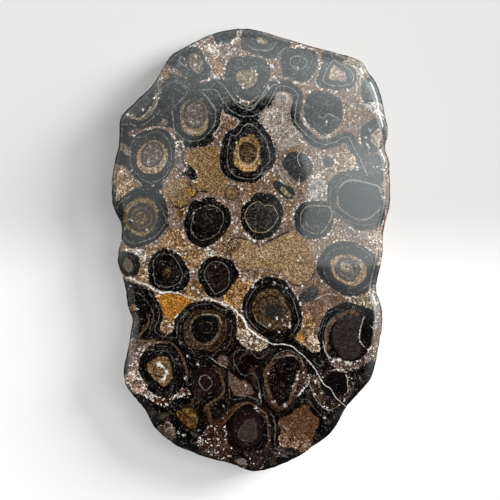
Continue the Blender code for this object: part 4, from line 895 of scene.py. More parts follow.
def buildSlab():
    turn, heights, radii = edgeRings(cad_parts[slab["node"]])
    spacing = 2 * math.pi * radii.mean() / mm / slab["angles"]
    radii = np.array([circularSmooth(r, slab["edgeSmooth"] / spacing) for r in radii])
    parts, last = slab["rowsPerRing"], len(heights) - 1
    levels, rows = [], []
    for i in range(last):
        ends = [radii[k] for k in (max(i - 1, 0), i, i + 1, min(i + 2, last))]
        low, high = np.minimum(*ends[1:3]), np.maximum(*ends[1:3])
        for k in range(parts):
            t = k / parts
            rows.append(np.clip(spline(*ends, t), low, high))
            levels.append(heights[i] + (heights[i + 1] - heights[i]) * t)
    rows, levels = np.array(rows + [radii[-1]]), np.array(levels + [heights[-1]])
    x = rows * np.cos(turn) / mm
    y = rows * np.sin(turn) / mm
    z = np.repeat(levels[:, None], len(turn), axis=1) / mm
    skin = slab["sideRelief"] * sum(waves(x, y, z, seed, size) * share for seed, size, share in slab["sideWaves"])
    skin = pitted(skin, turn * radii.mean() / mm, z)
    fade = np.clip((slab["reliefTop"] - z) / slab["reliefFade"], 0, 1) * np.clip(z / slab["reliefFoot"], 0, 1)
    inward = 1 - (slab["sideRelief"] + skin) * fade / (rows / mm)
    side = np.stack([x * inward, y * inward, z], axis=-1)
    side[-1, :, 2] -= slab["faceDrop"]
    topInner, topFaces = capMesh(side[-1, :, :2], slab["faceStep"])
    lowInner, lowFaces = capMesh(side[0, :, :2], slab["backStep"])
    nRow, nTurn = side.shape[:2]
    sideVerts = side.reshape(-1, 3)
    wave, saw = slab["faceWave"], slab["sawMarks"]
    dip = wave["height"] * (flatWaves(topInner, wave) / wave["most"] + 1)
    topZ = slab["thickness"] - slab["faceDrop"] - dip
    lowZ = saw["height"] * np.abs(flatWaves(lowInner, saw))
    verts = np.vstack([sideVerts, np.column_stack([topInner, topZ]), np.column_stack([lowInner, lowZ])])
    topBase, lowBase = len(sideVerts), len(sideVerts) + len(topInner)
    lastRow = (nRow - 1) * nTurn
    faces = gridFaces(nRow, nTurn, closed=True)
    faces += [tuple(i + lastRow if i < nTurn else i - nTurn + topBase for i in f) for f in topFaces]
    faces += [tuple(i if i < nTurn else i - nTurn + lowBase for i in reversed(f)) for f in lowFaces]
    mesh = bpy.data.meshes.new("polishedSlab")
    mesh.from_pydata((verts * mm).tolist(), [], faces)
    mesh.polygons.foreach_set("use_smooth", [True] * len(mesh.polygons))
    mesh.update()
    obj = bpy.data.objects.new("polishedSlab", mesh)
    bpy.context.scene.collection.objects.link(obj)
    return obj, verts


piece, verts = buildSlab()
triangles = sum(len(p.vertices) - 2 for p in piece.data.polygons)
print("slab mesh", len(piece.data.vertices), "points", triangles, "triangles")


# pattern fields, all in mm: place in the pattern at the widest line
def patternPlace(v):
    x, y, z = v.T
    widest, drift = slab["widest"], slab["columnDrift"]
    up = np.clip((z - widest) / (slab["thickness"] - widest), 0, 1)
    down = np.clip((widest - z) / widest, 0, 1)
    grow = 1 + (slab["faceGrow"] - 1) * up
    place = [x, y]
    for i in range(2):
        bend = waves(*place, z * drift["upwards"], drift["seeds"][i], drift["size"])
        place[i] = place[i] * grow + slab["lean"][i] * down + drift["by"] * down * bend
    return np.column_stack(place)


def put(mesh, name, values, kind="FLOAT"):
    layer = mesh.attributes.new(name, kind, "POINT")
    key = {"FLOAT": "value", "FLOAT_VECTOR": "vector", "FLOAT_COLOR": "color"}[kind]
    layer.data.foreach_set(key, np.ascontiguousarray(values, np.float32).ravel())


def unionField(place, outlines):
    field = np.full(len(place), -pattern["reach"])
    for outline in outlines:
        field = np.maximum(field, regionField(place, outline))
    return field


# one field for many regions, where later ones lie on top, and the tone at each point
def putLayered(mesh, name, place, entries):
    field = np.full(len(place), -pattern["reach"])
    color = np.zeros((len(place), 4))
    for tone, speck, one, shade in entries:
        take = np.where(one > 0, True, one > field)
        color[take, :3] = (linear(tones[tone]) * np.reshape(shade, (-1, 1)) * np.ones((len(place), 1)))[take]
        color[take, 3] = speck
        field = np.where(one > 0, np.where(field > 0, np.maximum(field, one), one), np.maximum(field, one))
    put(mesh, name, field)
    put(mesh, name + "Tone", color, "FLOAT_COLOR")


# lines near each other go to separate channels, so that each keeps its own tone and width
def lineChannels(place, entries, count=3):
    runs = [smoothed(run, bool(ring)) for _, _, run, *ring in entries]
    far = pattern["lineFar"]
    channels = [[] for _ in range(count)]
    for i, run in enumerate(runs):
        gaps = []
        for used in channels:
            others = [np.hypot(*(run[:, None] - runs[k]).transpose(2, 0, 1)).min() for k in used]
            gaps.append(min(others, default=99))
        best = next((c for c, g in enumerate(gaps) if g > pattern["lineGap"]), int(np.argmax(gaps)))
        channels[best].append(i)
    out = []
    for used in channels:
        nearest = np.full(len(place), far)
        signed = np.full(len(place), far)
        color = np.zeros((len(place), 4))
        for i in used:
            tone, half, _, *ring = entries[i]
            run = runs[i]
            near = around(place, run, pattern["lineReach"])
            if not near.any():
                continue
            dist, side, along, total = pathDistance(place[near], run, bool(ring))
            ends = far if ring else np.minimum(along, total - along)
            fade, left = pattern["lineEnd"]
            keep = np.clip(np.minimum(ends / fade + left, (pattern["lineCut"] - dist) / fade), 0, 1)
            idx = np.flatnonzero(near)
            better = dist < nearest[idx]
            idx, dist, side, keep = idx[better], dist[better], side[better], keep[better]
            nearest[idx] = dist
            signed[idx] = dist * np.where(side == 0, 1, side)
            color[idx, :3] = linear(tones[tone])
            color[idx, 3] = half * keep
        out.append((signed, color))
    return out


def bandEntries(place):
    brown, golden = pattern["bandContrast"]
    for tone, towards, gain, outer, inner in pattern["bands"]:
        one = np.minimum(regionField(place, outer), -regionField(place, inner))
        out = place - np.mean(outer, axis=0)
        shade = 1 + gain * np.cos(np.arctan2(out[:, 1], out[:, 0]) - math.radians(towards))
        yield tone, brown if "brown" in tone.lower() else golden, one, shade


def writeAttributes(mesh, verts):
    place = patternPlace(verts)
    put(mesh, "edge", unionField(place, pattern["columns"]))
    webs = unionField(place, pattern["dark"])
    for half, run in pattern["strokes"]:
        webs = np.maximum(webs, strokeField(place, half, run))
    put(mesh, "web", webs)
    even = pattern["evenCores"]
    contrast = lambda tone: even.get(tone, np.interp(sum(tones[tone]), *pattern["coreContrast"]))
    cores = ((tone, contrast(tone), regionField(place, outline), 1) for tone, outline in pattern["cores"])
    putLayered(mesh, "core", place, cores)
    putLayered(mesh, "band", place, bandEntries(place))
    patches = ((tone, speck, regionField(place, outline), 1) for tone, speck, outline in pattern["patches"])
    putLayered(mesh, "patch", place, patches)
    for name, (signed, color) in zip("ABC", lineChannels(place, pattern["lines"])):
        put(mesh, "line" + name, signed)
        put(mesh, "line" + name + "Tone", color, "FLOAT_COLOR")
    white = unionField(place, pattern["calcite"])
    for x, y, r in pattern["spots"]:
        white = np.maximum(white, r * pattern["spotSize"] - np.hypot(place[:, 0] - x, place[:, 1] - y))
    put(mesh, "white", white)
    dist, side, along, total = pathDistance(place, smoothed(pattern["vein"], False), False)
    ends = np.clip(np.minimum(along, total - along) / pattern["lineEnd"][0], 0, 1)
    half = np.interp(place[:, 0], *zip(*pattern["veinWidth"])) * ends
    half = np.where(dist < pattern["veinReach"], half, 0)
    vein = np.column_stack([dist * np.where(side == 0, 1, side), half, 0 * dist])
    put(mesh, "vein", vein, "FLOAT_VECTOR")
    low, high = slab["polished"]
    put(mesh, "polish", np.clip((verts[:, 2] - low) / (high - low), 0, 1))


writeAttributes(piece.data, verts)
print("pattern fields written")


# material
surface = {
    "faceRoughness": 0.022,
    "sideRoughness": 0.6,
    "sideRoughnessSwing": 0.5,
    "ior": 1.5,
    "bumpHeight": 0.0006,  # m
    "bumpStrength": 0.8,
    # grain
    "patternScale": (1000, 1000, 750),  # per m, less upwards
    "patternShift": (0, 0, -9.1),
    "grainScale": 1.2,  # grains per mm
    "grainSpread": 2.35,
    "grainWarmth": (0.0, 0.3, 0.72),  # extra spread of red, green and blue in warm tones
    "edgeWobble": 0.8,  # mm
    "fineWobble": 1.0,  # mm
    "grainWobble": 0.35,  # mm
    "noises": {  # shift mm, waves per mm, detail, roughness
        "soft": ((0, 0, 0), 0.12, 2, 0.5),
        "cluster": ((40, 0, 0), 0.17, 2, 0.5),
        "cloud": ((0, 70, 0), 0.33, 4, 0.6),
        "broad": ((0, 0, 0), 0.45, 3, 0.5),
        "curl": ((0, 15, 9), 0.5, 1, 0.5),
        "flake": ((15, 30, 0), 0.85, 3, 0.65),
        "mottle": ((0, 0, 0), 1.0, 3, 0.7),
        "fine": ((0, 0, 0), 1.7, 3, 0.6),
    },
    "amounts": {  # shares and mm, in the order of the steps below
        "matrixSwing": 0.4, "matrixCloud": 0.5, "matrixContrast": 0.8,
        "upperSlope": 0.6,
        "darkFleckSwing": 0.35, "dustFrom": 0.93,
        "layersPerMm": 1.25, "layerWobble": 0.6, "layerDrift": 5.0,
        "rustFrom": (6, 73, 0), "rustStretch": (1, 0.85, 0), "rustSwing": 16.0,
        "darkCloudLeast": 0.15, "darkCloudUpper": 0.6,
        "laminaPitch": 5.2, "laminaWobble": 0.5, "laminaDrift": 14.0, "laminaSwing": 0.5, "lamina": 0.7,
        "bitsSwing": 0.4, "bitsPower": 2.0,
        "greyedSwing": 1.2, "greyed": 0.75,
        "patchCloud": 0.8, "sandFine": 0.7, "sandGrain": 0.3, "patchContrast": 0.85, "speckContrast": 0.8,
        "fleckShare": 0.17, "fleckBorder": 0.13, "fleckSwing": 0.32, "fleckFlake": 0.75, "fleckGrain": 0.25,
        "curlSwing": 0.6, "curl": 0.16, "leastRed": 0.01,
        "coreWobble": 0.5, "coreFleck": 0.2, "coreLineIn": 0.2, "coreLine": 0.8,
        "bandWobble": 0.6, "streaksPerMm": 1.6, "streakDrift": 9.0,
        "lineWobble": 0.5, "lineSwing": 0.9, "lineLeast": 0.1, "noLine": 0.02,
        "lineContrast": 0.7, "lineUpper": 0.45,
        "spotMottle": 3.4, "spotFine": 1.6,
        "veinSwing": 0.6, "veinLeast": 0.7, "noVein": 0.05,
        "holesPerMm": 0.42, "holeShift": (3, 9, 1), "holeSwing": 0.5, "holeShade": 0.75, "holeDepth": 0.8,
        "dustSwing": 0.7, "sideDust": 0.42, "gritFine": 0.45, "gritMottle": 0.5, "gritCloud": 0.9,
    },
    # tones
    "matrixGrey": (112, 91, 79),
    "matrixGold": (116, 89, 64),
    "black": (3, 2, 2),
    "blackWarm": (44, 34, 27),
    "blackRust": (10, 3, 2),
    "layerRust": (50, 28, 21),
    "blackCloud": (25, 32, 36),
    # painted reflection: grey-blue tone of the softbox veil, mixed into the dark layers toward the top right
    "greyed": (91, 98, 102),
    "lamina": (112, 101, 88),
    "coreLine": (22, 15, 10),
    "darkFleck": (176, 172, 164),
    "fleck": (250, 243, 232),
    "fleckGold": (240, 190, 108),
    "calciteDull": (120, 106, 92),
    "calciteClean": (252, 249, 244),
    "veinDull": (176, 172, 164),
    "sideDust": (92, 80, 68),
    "sidePit": (24, 18, 14),
    "sideShade": (0.62, 0.56, 0.5),
    "streakDark": (0.5, 0.47, 0.42),
    "streakLight": (1.5, 1.5, 1.5),
    "ramps": {  # from, to, and levels at the ends where they aren't 0 and 1
        "crumb": (0.4, 0.6),
        "matrix": (0.42, 0.62),
        "columnEdge": (-0.2, 0.25),
        "webEdge": (-0.25, 0.25),
        "patchEdge": (-0.2, 0.2),
        "layers": (0.56, 0.68),
        "rusty": (30, 16),  # mm from the middle of the rusty part
        "upper": (15, 75),  # mm
        "darkCloud": (0.55, 0.72),
        "laminaLine": (0.8, 0.98),
        "laminaGap": (0.46, 0.62),
        "bits": (0.58, 0.68),
        "rustyLamina": (0, 1, 0.6, 0.35),
        "greyed": (0.55, 1.0),
        "darkFleck": (0.655, 0.71),
        "dust": (0.42, 0.2),
        "rustyFleck": (0, 1, 0.5, 0.28),
        "patchCloud": (0.35, 0.65),
        "sand": (0.36, 0.64),
        "patchBorder": (1.3, 0.2),  # mm
        "columnBorder": (-1.6, -0.7),  # mm
        "noPatch": (1.0, 0.0),
        "curl": (0.045, 0.015),
        "curlShare": (0.55, 0.8),
        "fleck": (0.73, 0.77),
        "goldLight": (0.05, 0.1),
        "goldWarm": (0.42, 0.2),
        "coreEdge": (-0.3, 0.3),
        "coreLine": (0.75, 0.35),
        "bandEdge": (-0.3, 0.4),
        "streak": (0.36, 0.64),
        "lineEdge": (-0.15, 0.15),
        "lineGap": (0.36, 0.58, 0.3, 1.0),
        "whiteEdge": (-0.1, 0.3),
        "calcite": (0.36, 0.6),
        "veinEdge": (-0.12, 0.15),
        "vein": (0.38, 0.55),
        "hole": (0.34, 0.16),
        "holeCluster": (0.42, 0.56),
        "sideDust": (0.42, 0.72),
    },
}
look = SimpleNamespace(**surface["amounts"])


# a node's output, with arithmetic that adds math nodes
class Wire:
    def __init__(self, kit, socket):
        self.kit = kit
        self.socket = socket

    def __add__(self, other):
        return self.kit.math("ADD", self, other)

    def __sub__(self, other):
        return self.kit.math("SUBTRACT", self, other)

    def __rsub__(self, other):
        return self.kit.math("SUBTRACT", other, self)

    def __mul__(self, other):
        return self.kit.math("MULTIPLY", self, other)

    def __truediv__(self, other):
        return self.kit.math("DIVIDE", self, other)

    def __pow__(self, other):
        return self.kit.math("POWER", self, other)

    def __gt__(self, other):
        return self.kit.math("GREATER_THAN", self, other)

    def __abs__(self):
        return self.kit.math("ABSOLUTE", self)

    def swing(self, size):
        return (self - 0.5) * size

    def ramp(self, low, high, a=0.0, b=1.0):
        items = dict(enumerate((self, low, high, a, b)))
        return self.kit.wires("ShaderNodeMapRange", items, interpolation_type="SMOOTHSTEP")[0]

    def step(self, name):
        return self.ramp(*surface["ramps"][name])


class NodeKit:
    def __init__(self, name):
        self.material = bpy.data.materials.new(name)
        self.material.use_nodes = True
        self.tree = self.material.node_tree
        self.tree.nodes.clear()

    def add(self, kind, items=None, **settings):
        node = self.tree.nodes.new(kind)
        for key, value in settings.items():
            setattr(node, key, value)
        for key, item in (items or {}).items():
            if isinstance(item, Wire):
                self.tree.links.new(item.socket, node.inputs[key])
            else:
                node.inputs[key].default_value = item
        return node

    def wires(self, kind, items=None, **settings):
        return [Wire(self, socket) for socket in self.add(kind, items, **settings).outputs]

    def math(self, op, a, b=0.0, clamp=False):
        return self.wires("ShaderNodeMath", {0: a, 1: b}, operation=op, use_clamp=clamp)[0]

    def most(self, a, b):
        return self.math("MAXIMUM", a, b)

    def vector(self, op, a, b=(0, 0, 0)):
        return self.wires("ShaderNodeVectorMath", {0: a, 1: b}, operation=op)

    def mix(self, factor, a, b, blend="MIX"):
        return self.wires("ShaderNodeMix", {0: factor, 6: a, 7: b}, data_type="RGBA", blend_type=blend)[2]

    def noise(self, place, scale, detail, rough):
        items = {"Vector": place, "Scale": scale, "Detail": detail, "Roughness": rough}
        return self.wires("ShaderNodeTexNoise", items)[0]

    def cells(self, place, scale):
        return self.wires("ShaderNodeTexVoronoi", {"Vector": place, "Scale": scale})[:2]

    # noise drawn out along a field
    def streaks(self, across, along):
        return self.noise(self.wires("ShaderNodeCombineXYZ", {0: across, 1: along})[0], 1, 2, 0.5)

    def split(self, value, kind):
        return self.wires("ShaderNodeSeparate" + kind, {0: value})

    def place(self):
        return Wire(self, self.add("ShaderNodeTexCoord").outputs["Object"])

    def read(self, name, output="Fac"):
        return Wire(self, self.add("ShaderNodeAttribute", attribute_name=name).outputs[output])

    def grain(self, tone, value, contrast):
        # green and blue spread further where the tone is warm, so dark grains are richer
        parts = self.split(tone, "Color")
        warm = self.math("SUBTRACT", 1.0, parts[2] / (parts[0] + 0.001), clamp=True)
        spread = value * contrast * surface["grainSpread"]
        mixed = {}
        for i, extra in enumerate(surface["grainWarmth"]):
            mixed[i] = parts[i] * self.math("EXPONENT", spread * (warm * extra + 1.0))
        return self.wires("ShaderNodeCombineColor", mixed)[0]

    def finish(self, kind, items):
        shader = self.add(kind, items)
        self.tree.links.new(shader.outputs[0], self.add("ShaderNodeOutputMaterial").inputs[0])
        return self.material


def tint(name):
    return (*linear(surface[name]), 1)


# noises and fields that all parts of the stone share
def stoneFields(kit):
    n = SimpleNamespace()
    scaled = kit.vector("MULTIPLY", kit.place(), surface["patternScale"])[0]
    n.place = kit.vector("ADD", scaled, surface["patternShift"])[0]
    for name, (shift, *rest) in surface["noises"].items():
        setattr(n, name, kit.noise(kit.vector("ADD", n.place, shift)[0], *rest))
    n.cellDistance, cellColor = kit.cells(n.place, surface["grainScale"])
    n.pick = kit.split(cellColor, "Color")
    n.wobble = n.broad.swing(2 * surface["edgeWobble"]) + n.mottle.swing(2 * surface["fineWobble"])
    n.wobble = n.wobble + n.pick[0].swing(surface["grainWobble"])
    n.crumb = n.mottle.step("crumb") * 0.5 + n.pick[0] * 0.5
    x, y, _ = kit.split(n.place, "XYZ")
    n.upper = (y + x * look.upperSlope).step("upper")
    n.darkFleck = (n.flake + n.cluster.swing(look.darkFleckSwing)).step("darkFleck")
    n.darkFleck = kit.most(n.darkFleck, (n.pick[1] > look.dustFrom) * n.cellDistance.step("dust"))
    n.edge = kit.read("edge")
    n.inPatch = (kit.read("patch") + n.wobble).step("patchEdge")
    n.inDark = kit.most((kit.read("web") + n.wobble).step("webEdge"), (n.edge + n.wobble).step("columnEdge"))
    return n


# dark layers with fine laminae that follow the rim
def darkLayers(kit, n):
    layers = kit.streaks((n.edge + n.wobble * look.layerWobble) * look.layersPerMm, n.soft * look.layerDrift)
    fromRust = kit.vector("MULTIPLY", kit.vector("ADD", n.place, look.rustFrom)[0], look.rustStretch)[0]
    rusty = (kit.vector("LENGTH", fromRust)[1] + n.soft.swing(look.rustSwing)).step("rusty")
    black = kit.mix(rusty, tint("black"), tint("blackRust"))
    dark = kit.mix(layers.step("layers"), black, kit.mix(rusty, tint("blackWarm"), tint("layerRust")))
    clouded = n.cloud.step("darkCloud") * (n.upper * look.darkCloudUpper + look.darkCloudLeast)
    dark = kit.mix(clouded, dark, tint("blackCloud"))
    drift = (n.edge + n.wobble * look.laminaWobble) * look.laminaPitch + n.soft * look.laminaDrift
    lamina = kit.math("SINE", drift).step("laminaLine")
    lamina = lamina * (n.broad + n.mottle.swing(look.laminaSwing)).step("laminaGap")
    bits = (n.mottle + n.cluster.swing(look.bitsSwing)).step("bits") * n.pick[2] ** look.bitsPower
    dark = kit.mix(kit.most(lamina * look.lamina, bits) * rusty.step("rustyLamina"), dark, tint("lamina"))
    # painted reflection: the dark layers are mottled toward the grey-blue veil tone in the top right
    greyed = (n.crumb + n.cloud.swing(look.greyedSwing)).step("greyed") * look.greyed
    dark = kit.mix(n.upper * greyed, dark, tint("greyed"))
    return kit.mix(n.darkFleck * rusty.step("rustyFleck"), dark, tint("darkFleck"))


# sand between the columns and in patches, with calcite flecks in clusters and along borders
def sandAndPatches(kit, n, dark):
    golden = (n.soft + n.broad.swing(look.matrixSwing)).step("matrix")
    stone = kit.mix(golden, tint("matrixGrey"), tint("matrixGold"))
    stone = kit.grain(stone, n.crumb - 0.5 + n.cloud.swing(look.matrixCloud), look.matrixContrast)
    tone, speck = kit.read("patchTone", "Color"), kit.read("patchTone", "Alpha")
    drifted = n.cloud.step("patchCloud").swing(look.patchCloud) * speck
    sand = n.fine.step("sand") * look.sandFine + n.pick[0] * look.sandGrain
    patchColor = kit.grain(tone, sand - 0.5 + drifted, speck * look.speckContrast + look.patchContrast)
    color = kit.mix(n.inPatch, kit.mix(n.inDark, stone, dark), patchColor)
    share = kit.mix(n.inPatch, (0.5, 0.5, 0.5, 1), speck)
    border = n.edge.step("columnBorder") * n.inPatch.step("noPatch")
    border = kit.most(n.inPatch * kit.read("patch").step("patchBorder"), border)
    lift = share * look.fleckShare + border * share * look.fleckBorder + n.cluster.swing(look.fleckSwing)
    curls = abs(n.curl - 0.5).step("curl") * (share + n.cluster.swing(look.curlSwing)).step("curlShare")
    crisp = n.flake * look.fleckFlake + n.pick[2] * look.fleckGrain + curls * look.curl
    inStone = kit.most(n.inPatch, 1.0 - n.inDark)
    red, _, blue = kit.split(tone, "Color")
    golden = n.inPatch * red.step("goldLight") * (blue / kit.most(red, look.leastRed)).step("goldWarm")
    return kit.mix((crisp + lift).step("fleck") * inStone, color, kit.mix(golden, tint("fleck"), tint("fleckGold")))


def coresAndLines(kit, n, color):
    crumb = n.crumb - 0.5
    core = kit.read("core") + n.wobble * look.coreWobble
    coreColor = kit.grain(kit.read("coreTone", "Color"), crumb, kit.read("coreTone", "Alpha"))
    coreColor = kit.mix(n.darkFleck * look.coreFleck, coreColor, tint("darkFleck"))
    color = kit.mix(core.step("coreEdge"), color, coreColor)
    band = kit.read("band")
    streak = kit.streaks((band + n.wobble) * look.streaksPerMm, n.soft * look.streakDrift)
    streak = kit.mix(streak.step("streak"), (*surface["streakDark"], 1), (*surface["streakLight"], 1))
    bandColor = kit.mix(1.0, kit.read("bandTone", "Color"), streak, "MULTIPLY")
    bandColor = kit.grain(bandColor, crumb, kit.read("bandTone", "Alpha"))
    color = kit.mix((band + n.wobble * look.bandWobble).step("bandEdge"), color, bandColor)
    color = kit.mix(abs(core + look.coreLineIn).step("coreLine") * look.coreLine, color, tint("coreLine"))
    for name in "ABC":
        width = kit.read("line" + name + "Tone", "Alpha")
        away = abs(kit.read("line" + name) + n.wobble * look.lineWobble)
        room = width * (n.broad * look.lineSwing + look.lineLeast) - away
        mask = room.step("lineEdge") * (width > look.noLine) * kit.most(n.flake.step("lineGap"), n.upper)
        tone = kit.grain(kit.read("line" + name + "Tone", "Color"), crumb, look.lineContrast)
        color = kit.mix(mask, color, kit.mix(n.upper * look.lineUpper, tone, tint("darkFleck")))
    return color


def spotsAndVein(kit, n, color):
    ragged = n.mottle.swing(look.spotMottle) + n.fine.swing(look.spotFine)
    white = (kit.read("white") + ragged).step("whiteEdge")
    color = kit.mix(white, color, kit.mix(n.flake.step("calcite"), tint("calciteDull"), tint("calciteClean")))
    away, width, _ = kit.split(kit.read("vein", "Vector"), "XYZ")
    room = width * (n.broad * look.veinSwing + look.veinLeast) - abs(away + n.wobble * look.lineWobble)
    mask = room.step("veinEdge") * (width > look.noVein)
    return kit.mix(mask, color, kit.mix(n.flake.step("vein"), tint("veinDull"), tint("calciteClean")))


def stoneMaterial():
    kit = NodeKit("polishedStromatolite")
    n = stoneFields(kit)
    color = sandAndPatches(kit, n, darkLayers(kit, n))
    color = spotsAndVein(kit, n, coresAndLines(kit, n, color))
    # natural side, with grit, small pits and a dusty skin
    polish = kit.read("polish")
    skin = kit.mix(1.0, color, (*surface["sideShade"], 1), "MULTIPLY")
    distance = kit.cells(kit.vector("ADD", n.place, look.holeShift)[0], look.holesPerMm)[0]
    hole = (distance + n.mottle.swing(look.holeSwing)).step("hole") * n.cluster.step("holeCluster")
    dusty = (n.cloud + n.mottle.swing(look.dustSwing)).step("sideDust")
    skin = kit.mix(dusty * look.sideDust, skin, tint("sideDust"))
    skin = kit.mix(hole * look.holeShade, skin, tint("sidePit"))
    natural = 1.0 - polish
    rough = natural * (n.cloud.swing(surface["sideRoughnessSwing"]) + surface["sideRoughness"])
    grit = n.fine * look.gritFine + (n.mottle * look.gritMottle + n.cloud * look.gritCloud)
    bump = kit.wires("ShaderNodeBump", {
        "Distance": surface["bumpHeight"],
        "Strength": natural * surface["bumpStrength"],
        "Height": grit - hole * look.holeDepth,
    })[0]
    return kit.finish("ShaderNodeBsdfPrincipled", {
        "Base Color": kit.mix(polish, skin, color),
        "Roughness": rough + polish * surface["faceRoughness"],
        "Normal": bump,
        "IOR": surface["ior"],
    })


piece.data.materials.append(stoneMaterial())
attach(piece, "root")
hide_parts(slab["node"])
print("stone material ready")

# camera, floor and light
studio = {
    "cameraHeight": 1.6,
    "cameraX": -0.5,  # mm
    "sensor": 36,  # mm
    "span": 250,  # mm across the picture at the widest line
    "floorSize": 6,
    "floorRoughness": 0.9,
    "upperFloor": 0.585,
    "lowerFloor": 0.765,
    "floorTurn": (27, -24),  # mm, where the floor brightens
    "key": {"place": (3.59, 1.6, 2.1), "size": (1.6, 2.5), "power": 245},
    "upperKey": {"place": (1.85, 0.2, 4.1), "size": (1.8, 2.2), "power": 58},
    "fill": {"place": (-1.75, 0.8, 2.0), "size": (0.75, 0.75), "power": 30.0},
    "world": 0.015,
}

scene = bpy.context.scene
scene.view_settings.view_transform = "Standard"
camera = bpy.data.objects.new("camera", bpy.data.cameras.new("camera"))
scene.collection.objects.link(camera)
scene.camera = camera
camera.location = (studio["cameraX"] * mm, 0, studio["cameraHeight"])
camera.data.sensor_width = studio["sensor"]
away = studio["cameraHeight"] - slab["widest"] * mm
camera.data.lens = studio["sensor"] * away / (studio["span"] * mm)


def floorMaterial():
    kit = NodeKit("paleFloor")
    high, low = (v * mm for v in studio["floorTurn"])
    mask = kit.split(kit.place(), "XYZ")[1].ramp(low, high)
    lower, upper = ((v, v, v, 1) for v in (studio["lowerFloor"], studio["upperFloor"]))
    return kit.finish("ShaderNodeBsdfPrincipled", {
        "Base Color": kit.mix(mask, lower, upper),
        "Roughness": studio["floorRoughness"],
        "Specular IOR Level": 0,
    })


bpy.ops.mesh.primitive_plane_add(size=studio["floorSize"])
floor = bpy.context.object
floor.name = "floor"
floor.data.materials.append(floorMaterial())
floor.visible_glossy = False


def areaLight(name, place, size, power):
    data = bpy.data.lights.new(name, "AREA")
    data.shape = "RECTANGLE"
    data.size, data.size_y = size
    data.energy = power
    obj = bpy.data.objects.new(name, data)
    scene.collection.objects.link(obj)
    obj.location = place
    obj.rotation_euler = Vector(place).to_track_quat("Z", "Y").to_euler()
    return obj


areaLight("key", **studio["key"])
areaLight("upperKey", **studio["upperKey"]).visible_glossy = False
fill = studio["fill"]
for name, side in (("fillFar", 1), ("fillNear", -1)):
    x, y, z = fill["place"]
    lamp = areaLight(name, (x, side * y, z), fill["size"], fill["power"])
    lamp.visible_glossy = False  # the softbox card stands in for it in the polish
    lamp.data.use_shadow = False

world = bpy.data.worlds.new("room")
scene.world = world
world.use_nodes = True
world.node_tree.nodes["Background"].inputs[0].default_value = (1, 1, 1, 1)
world.node_tree.nodes["Background"].inputs[1].default_value = studio["world"]

# a card and a dome that only the polish shows
softbox = {
    "power": 3.2,
    "height": 2.4,  # m above the face
    "step": 1.25,  # mm as seen in the face
    "across": (-118, 108),  # mm as seen in the face, from and to
    "upwards": (-50, 148),
    "reach": 40.0,
    "coolTint": (0.91, 0.985, 1.01, 1),  # where it is dim
    "brightTint": (0.93, 1.0, 1.0, 1),
    "tintRamp": (0.6, 1.3),  # levels
    "shapes": [  # strength, softness mm, edge as seen on the face
        (1.0, 1.5, [(-120, 150), (-120, 84), (-60, 84), (-48, 80), (-36, 79), (-24, 77), (-14, 75), (0, 74),
            (9, 76), (18, 74), (24, 66), (23.6, 50), (25.4, 44.5), (27.2, 39.6), (27.8, 35), (26.4, 28),
            (27, 23), (28, 21), (25.5, 14), (24, 11), (30, -2), (33, -8), (110, -8), (110, 150)]),
        (0.85, 10.0, [(-120, 100), (-24, 88), (-14, 73), (-22, 61), (-31, 54), (-33, 40), (-37, 29),
            (-44, 22), (-44, 6), (-50, 0), (-120, -4)]),
        (0.45, 10.0, [(38, 0), (36, -14), (50, -22), (110, -26), (110, 0)]),
        (0.2, 18.0, [(8, 62), (8, 4), (26, -24), (110, -40), (110, 60)]),
        (0.25, 8.0, [(-120, 6), (-60, 6), (-56, -8), (-60, -20), (-120, -24)]),
    ],
    "acrossLevel": [(-70, 0.5), (-45, 0.55), (-20, 0.64), (0, 0.78), (10, 0.84), (18, 0.78), (24, 0.88),
        (32, 1.05), (45, 1.3), (62, 1.6), (80, 1.6)],  # mm, level
    "upwardsLevel": [(-30, 0.95), (0, 0.93), (15, 0.96), (28, 1.06), (44, 1.33), (58, 0.9), (70, 0.82),
        (82, 1.25), (90, 1.45), (105, 1.4)],
    "domeRadius": 5.0,
    "domeAzimuth": (-180, 180, 5),  # degrees, from, to, step
    "domeRise": (-60, 85, 4),
    "domeLevel": [(-180, 0.28), (-165, 0.15), (-150, 0.06), (-135, 0.03), (-60, 0.02), (-35, 0.03),
        (-20, 0.2), (-8, 0.7), (10, 1.3), (45, 1.4), (80, 0.7), (100, 0.6), (130, 0.6), (155, 0.45),
        (180, 0.35)],  # azimuth in degrees, level
    "domeFade": (-55, -15),  # degrees above the floor
    "pane": {"azimuth": 30, "rise": 66, "radius": 16, "edge": 5, "level": 3.0},  # degrees
}


def glowMaterial(name):
    kit = NodeKit(name)
    level = kit.read("glow")
    kit.material.cycles.emission_sampling = "NONE"
    return kit.finish("ShaderNodeEmission", {
        "Color": kit.mix(level.ramp(*softbox["tintRamp"]), softbox["coolTint"], softbox["brightTint"]),
        "Strength": level * softbox["power"],
    })


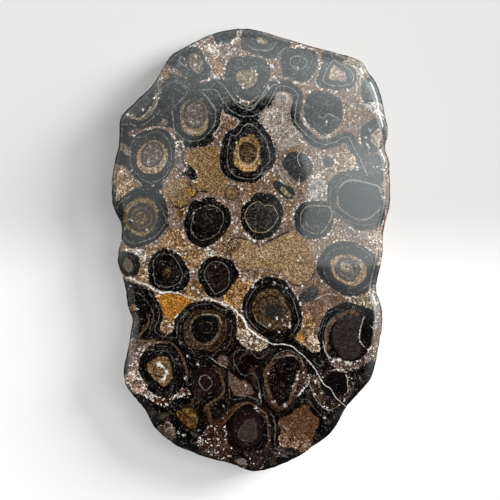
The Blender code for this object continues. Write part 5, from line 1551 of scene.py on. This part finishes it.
def emitterObject(name, verts, faces, glow):
    mesh = bpy.data.meshes.new(name)
    mesh.from_pydata(verts.tolist(), [], faces)
    put(mesh, "glow", glow)
    card = bpy.data.objects.new(name, mesh)
    scene.collection.objects.link(card)
    card.visible_camera = False
    card.visible_diffuse = False
    card.visible_shadow = False
    mesh.materials.append(glowMaterial(name))


def softboxCard():
    face = slab["thickness"] * mm
    cam = np.array([studio["cameraX"], 0.0])
    grow = (1 + softbox["height"] / (studio["cameraHeight"] - face)) / slab["faceGrow"]
    xs, ys = (np.arange(*softbox[key], softbox["step"]) for key in ("across", "upwards"))
    seen = np.stack(np.meshgrid(xs, ys), axis=-1).reshape(-1, 2)
    glow = np.zeros(len(seen))
    for level, soft, outline in softbox["shapes"]:
        t = np.clip(regionField(seen, outline, softbox["reach"], parts=1) / soft + 0.5, 0, 1)
        glow = np.maximum(glow, level * t * t * (3 - 2 * t))
    glow *= np.interp(seen[:, 0], *zip(*softbox["acrossLevel"])) \
        * np.interp(seen[:, 1], *zip(*softbox["upwardsLevel"]))
    real = (seen - cam) * grow + cam
    verts = np.column_stack([real * mm, np.full(len(seen), face + softbox["height"])])
    faces = [f for f in gridFaces(len(ys), len(xs)) if glow[list(f)].max() > 0]
    emitterObject("softbox", verts, faces, glow)


def direction(azimuth, rise):
    return np.stack([np.cos(rise) * np.cos(azimuth), np.cos(rise) * np.sin(azimuth), np.sin(rise)], axis=-1)


def dome():
    azimuth, rise = (np.arange(*softbox[key]) for key in ("domeAzimuth", "domeRise"))
    a, e = np.meshgrid(azimuth, rise)
    ways = direction(np.radians(a), np.radians(e)).reshape(-1, 3)
    low, high = softbox["domeFade"]
    fade = np.clip((e.ravel() - low) / (high - low), 0, 1)
    glow = np.interp(a.ravel(), *zip(*softbox["domeLevel"])) * fade
    pane = softbox["pane"]
    towards = direction(math.radians(pane["azimuth"]), math.radians(pane["rise"]))
    apart = np.degrees(np.arccos(np.clip(ways @ towards, -1, 1)))
    glow = np.maximum(glow, pane["level"] * np.clip((pane["radius"] - apart) / pane["edge"] + 0.5, 0, 1))
    emitterObject("dome", softbox["domeRadius"] * ways, gridFaces(len(rise), len(azimuth), closed=True), glow)


dome()
softboxCard()
print("studio ready")
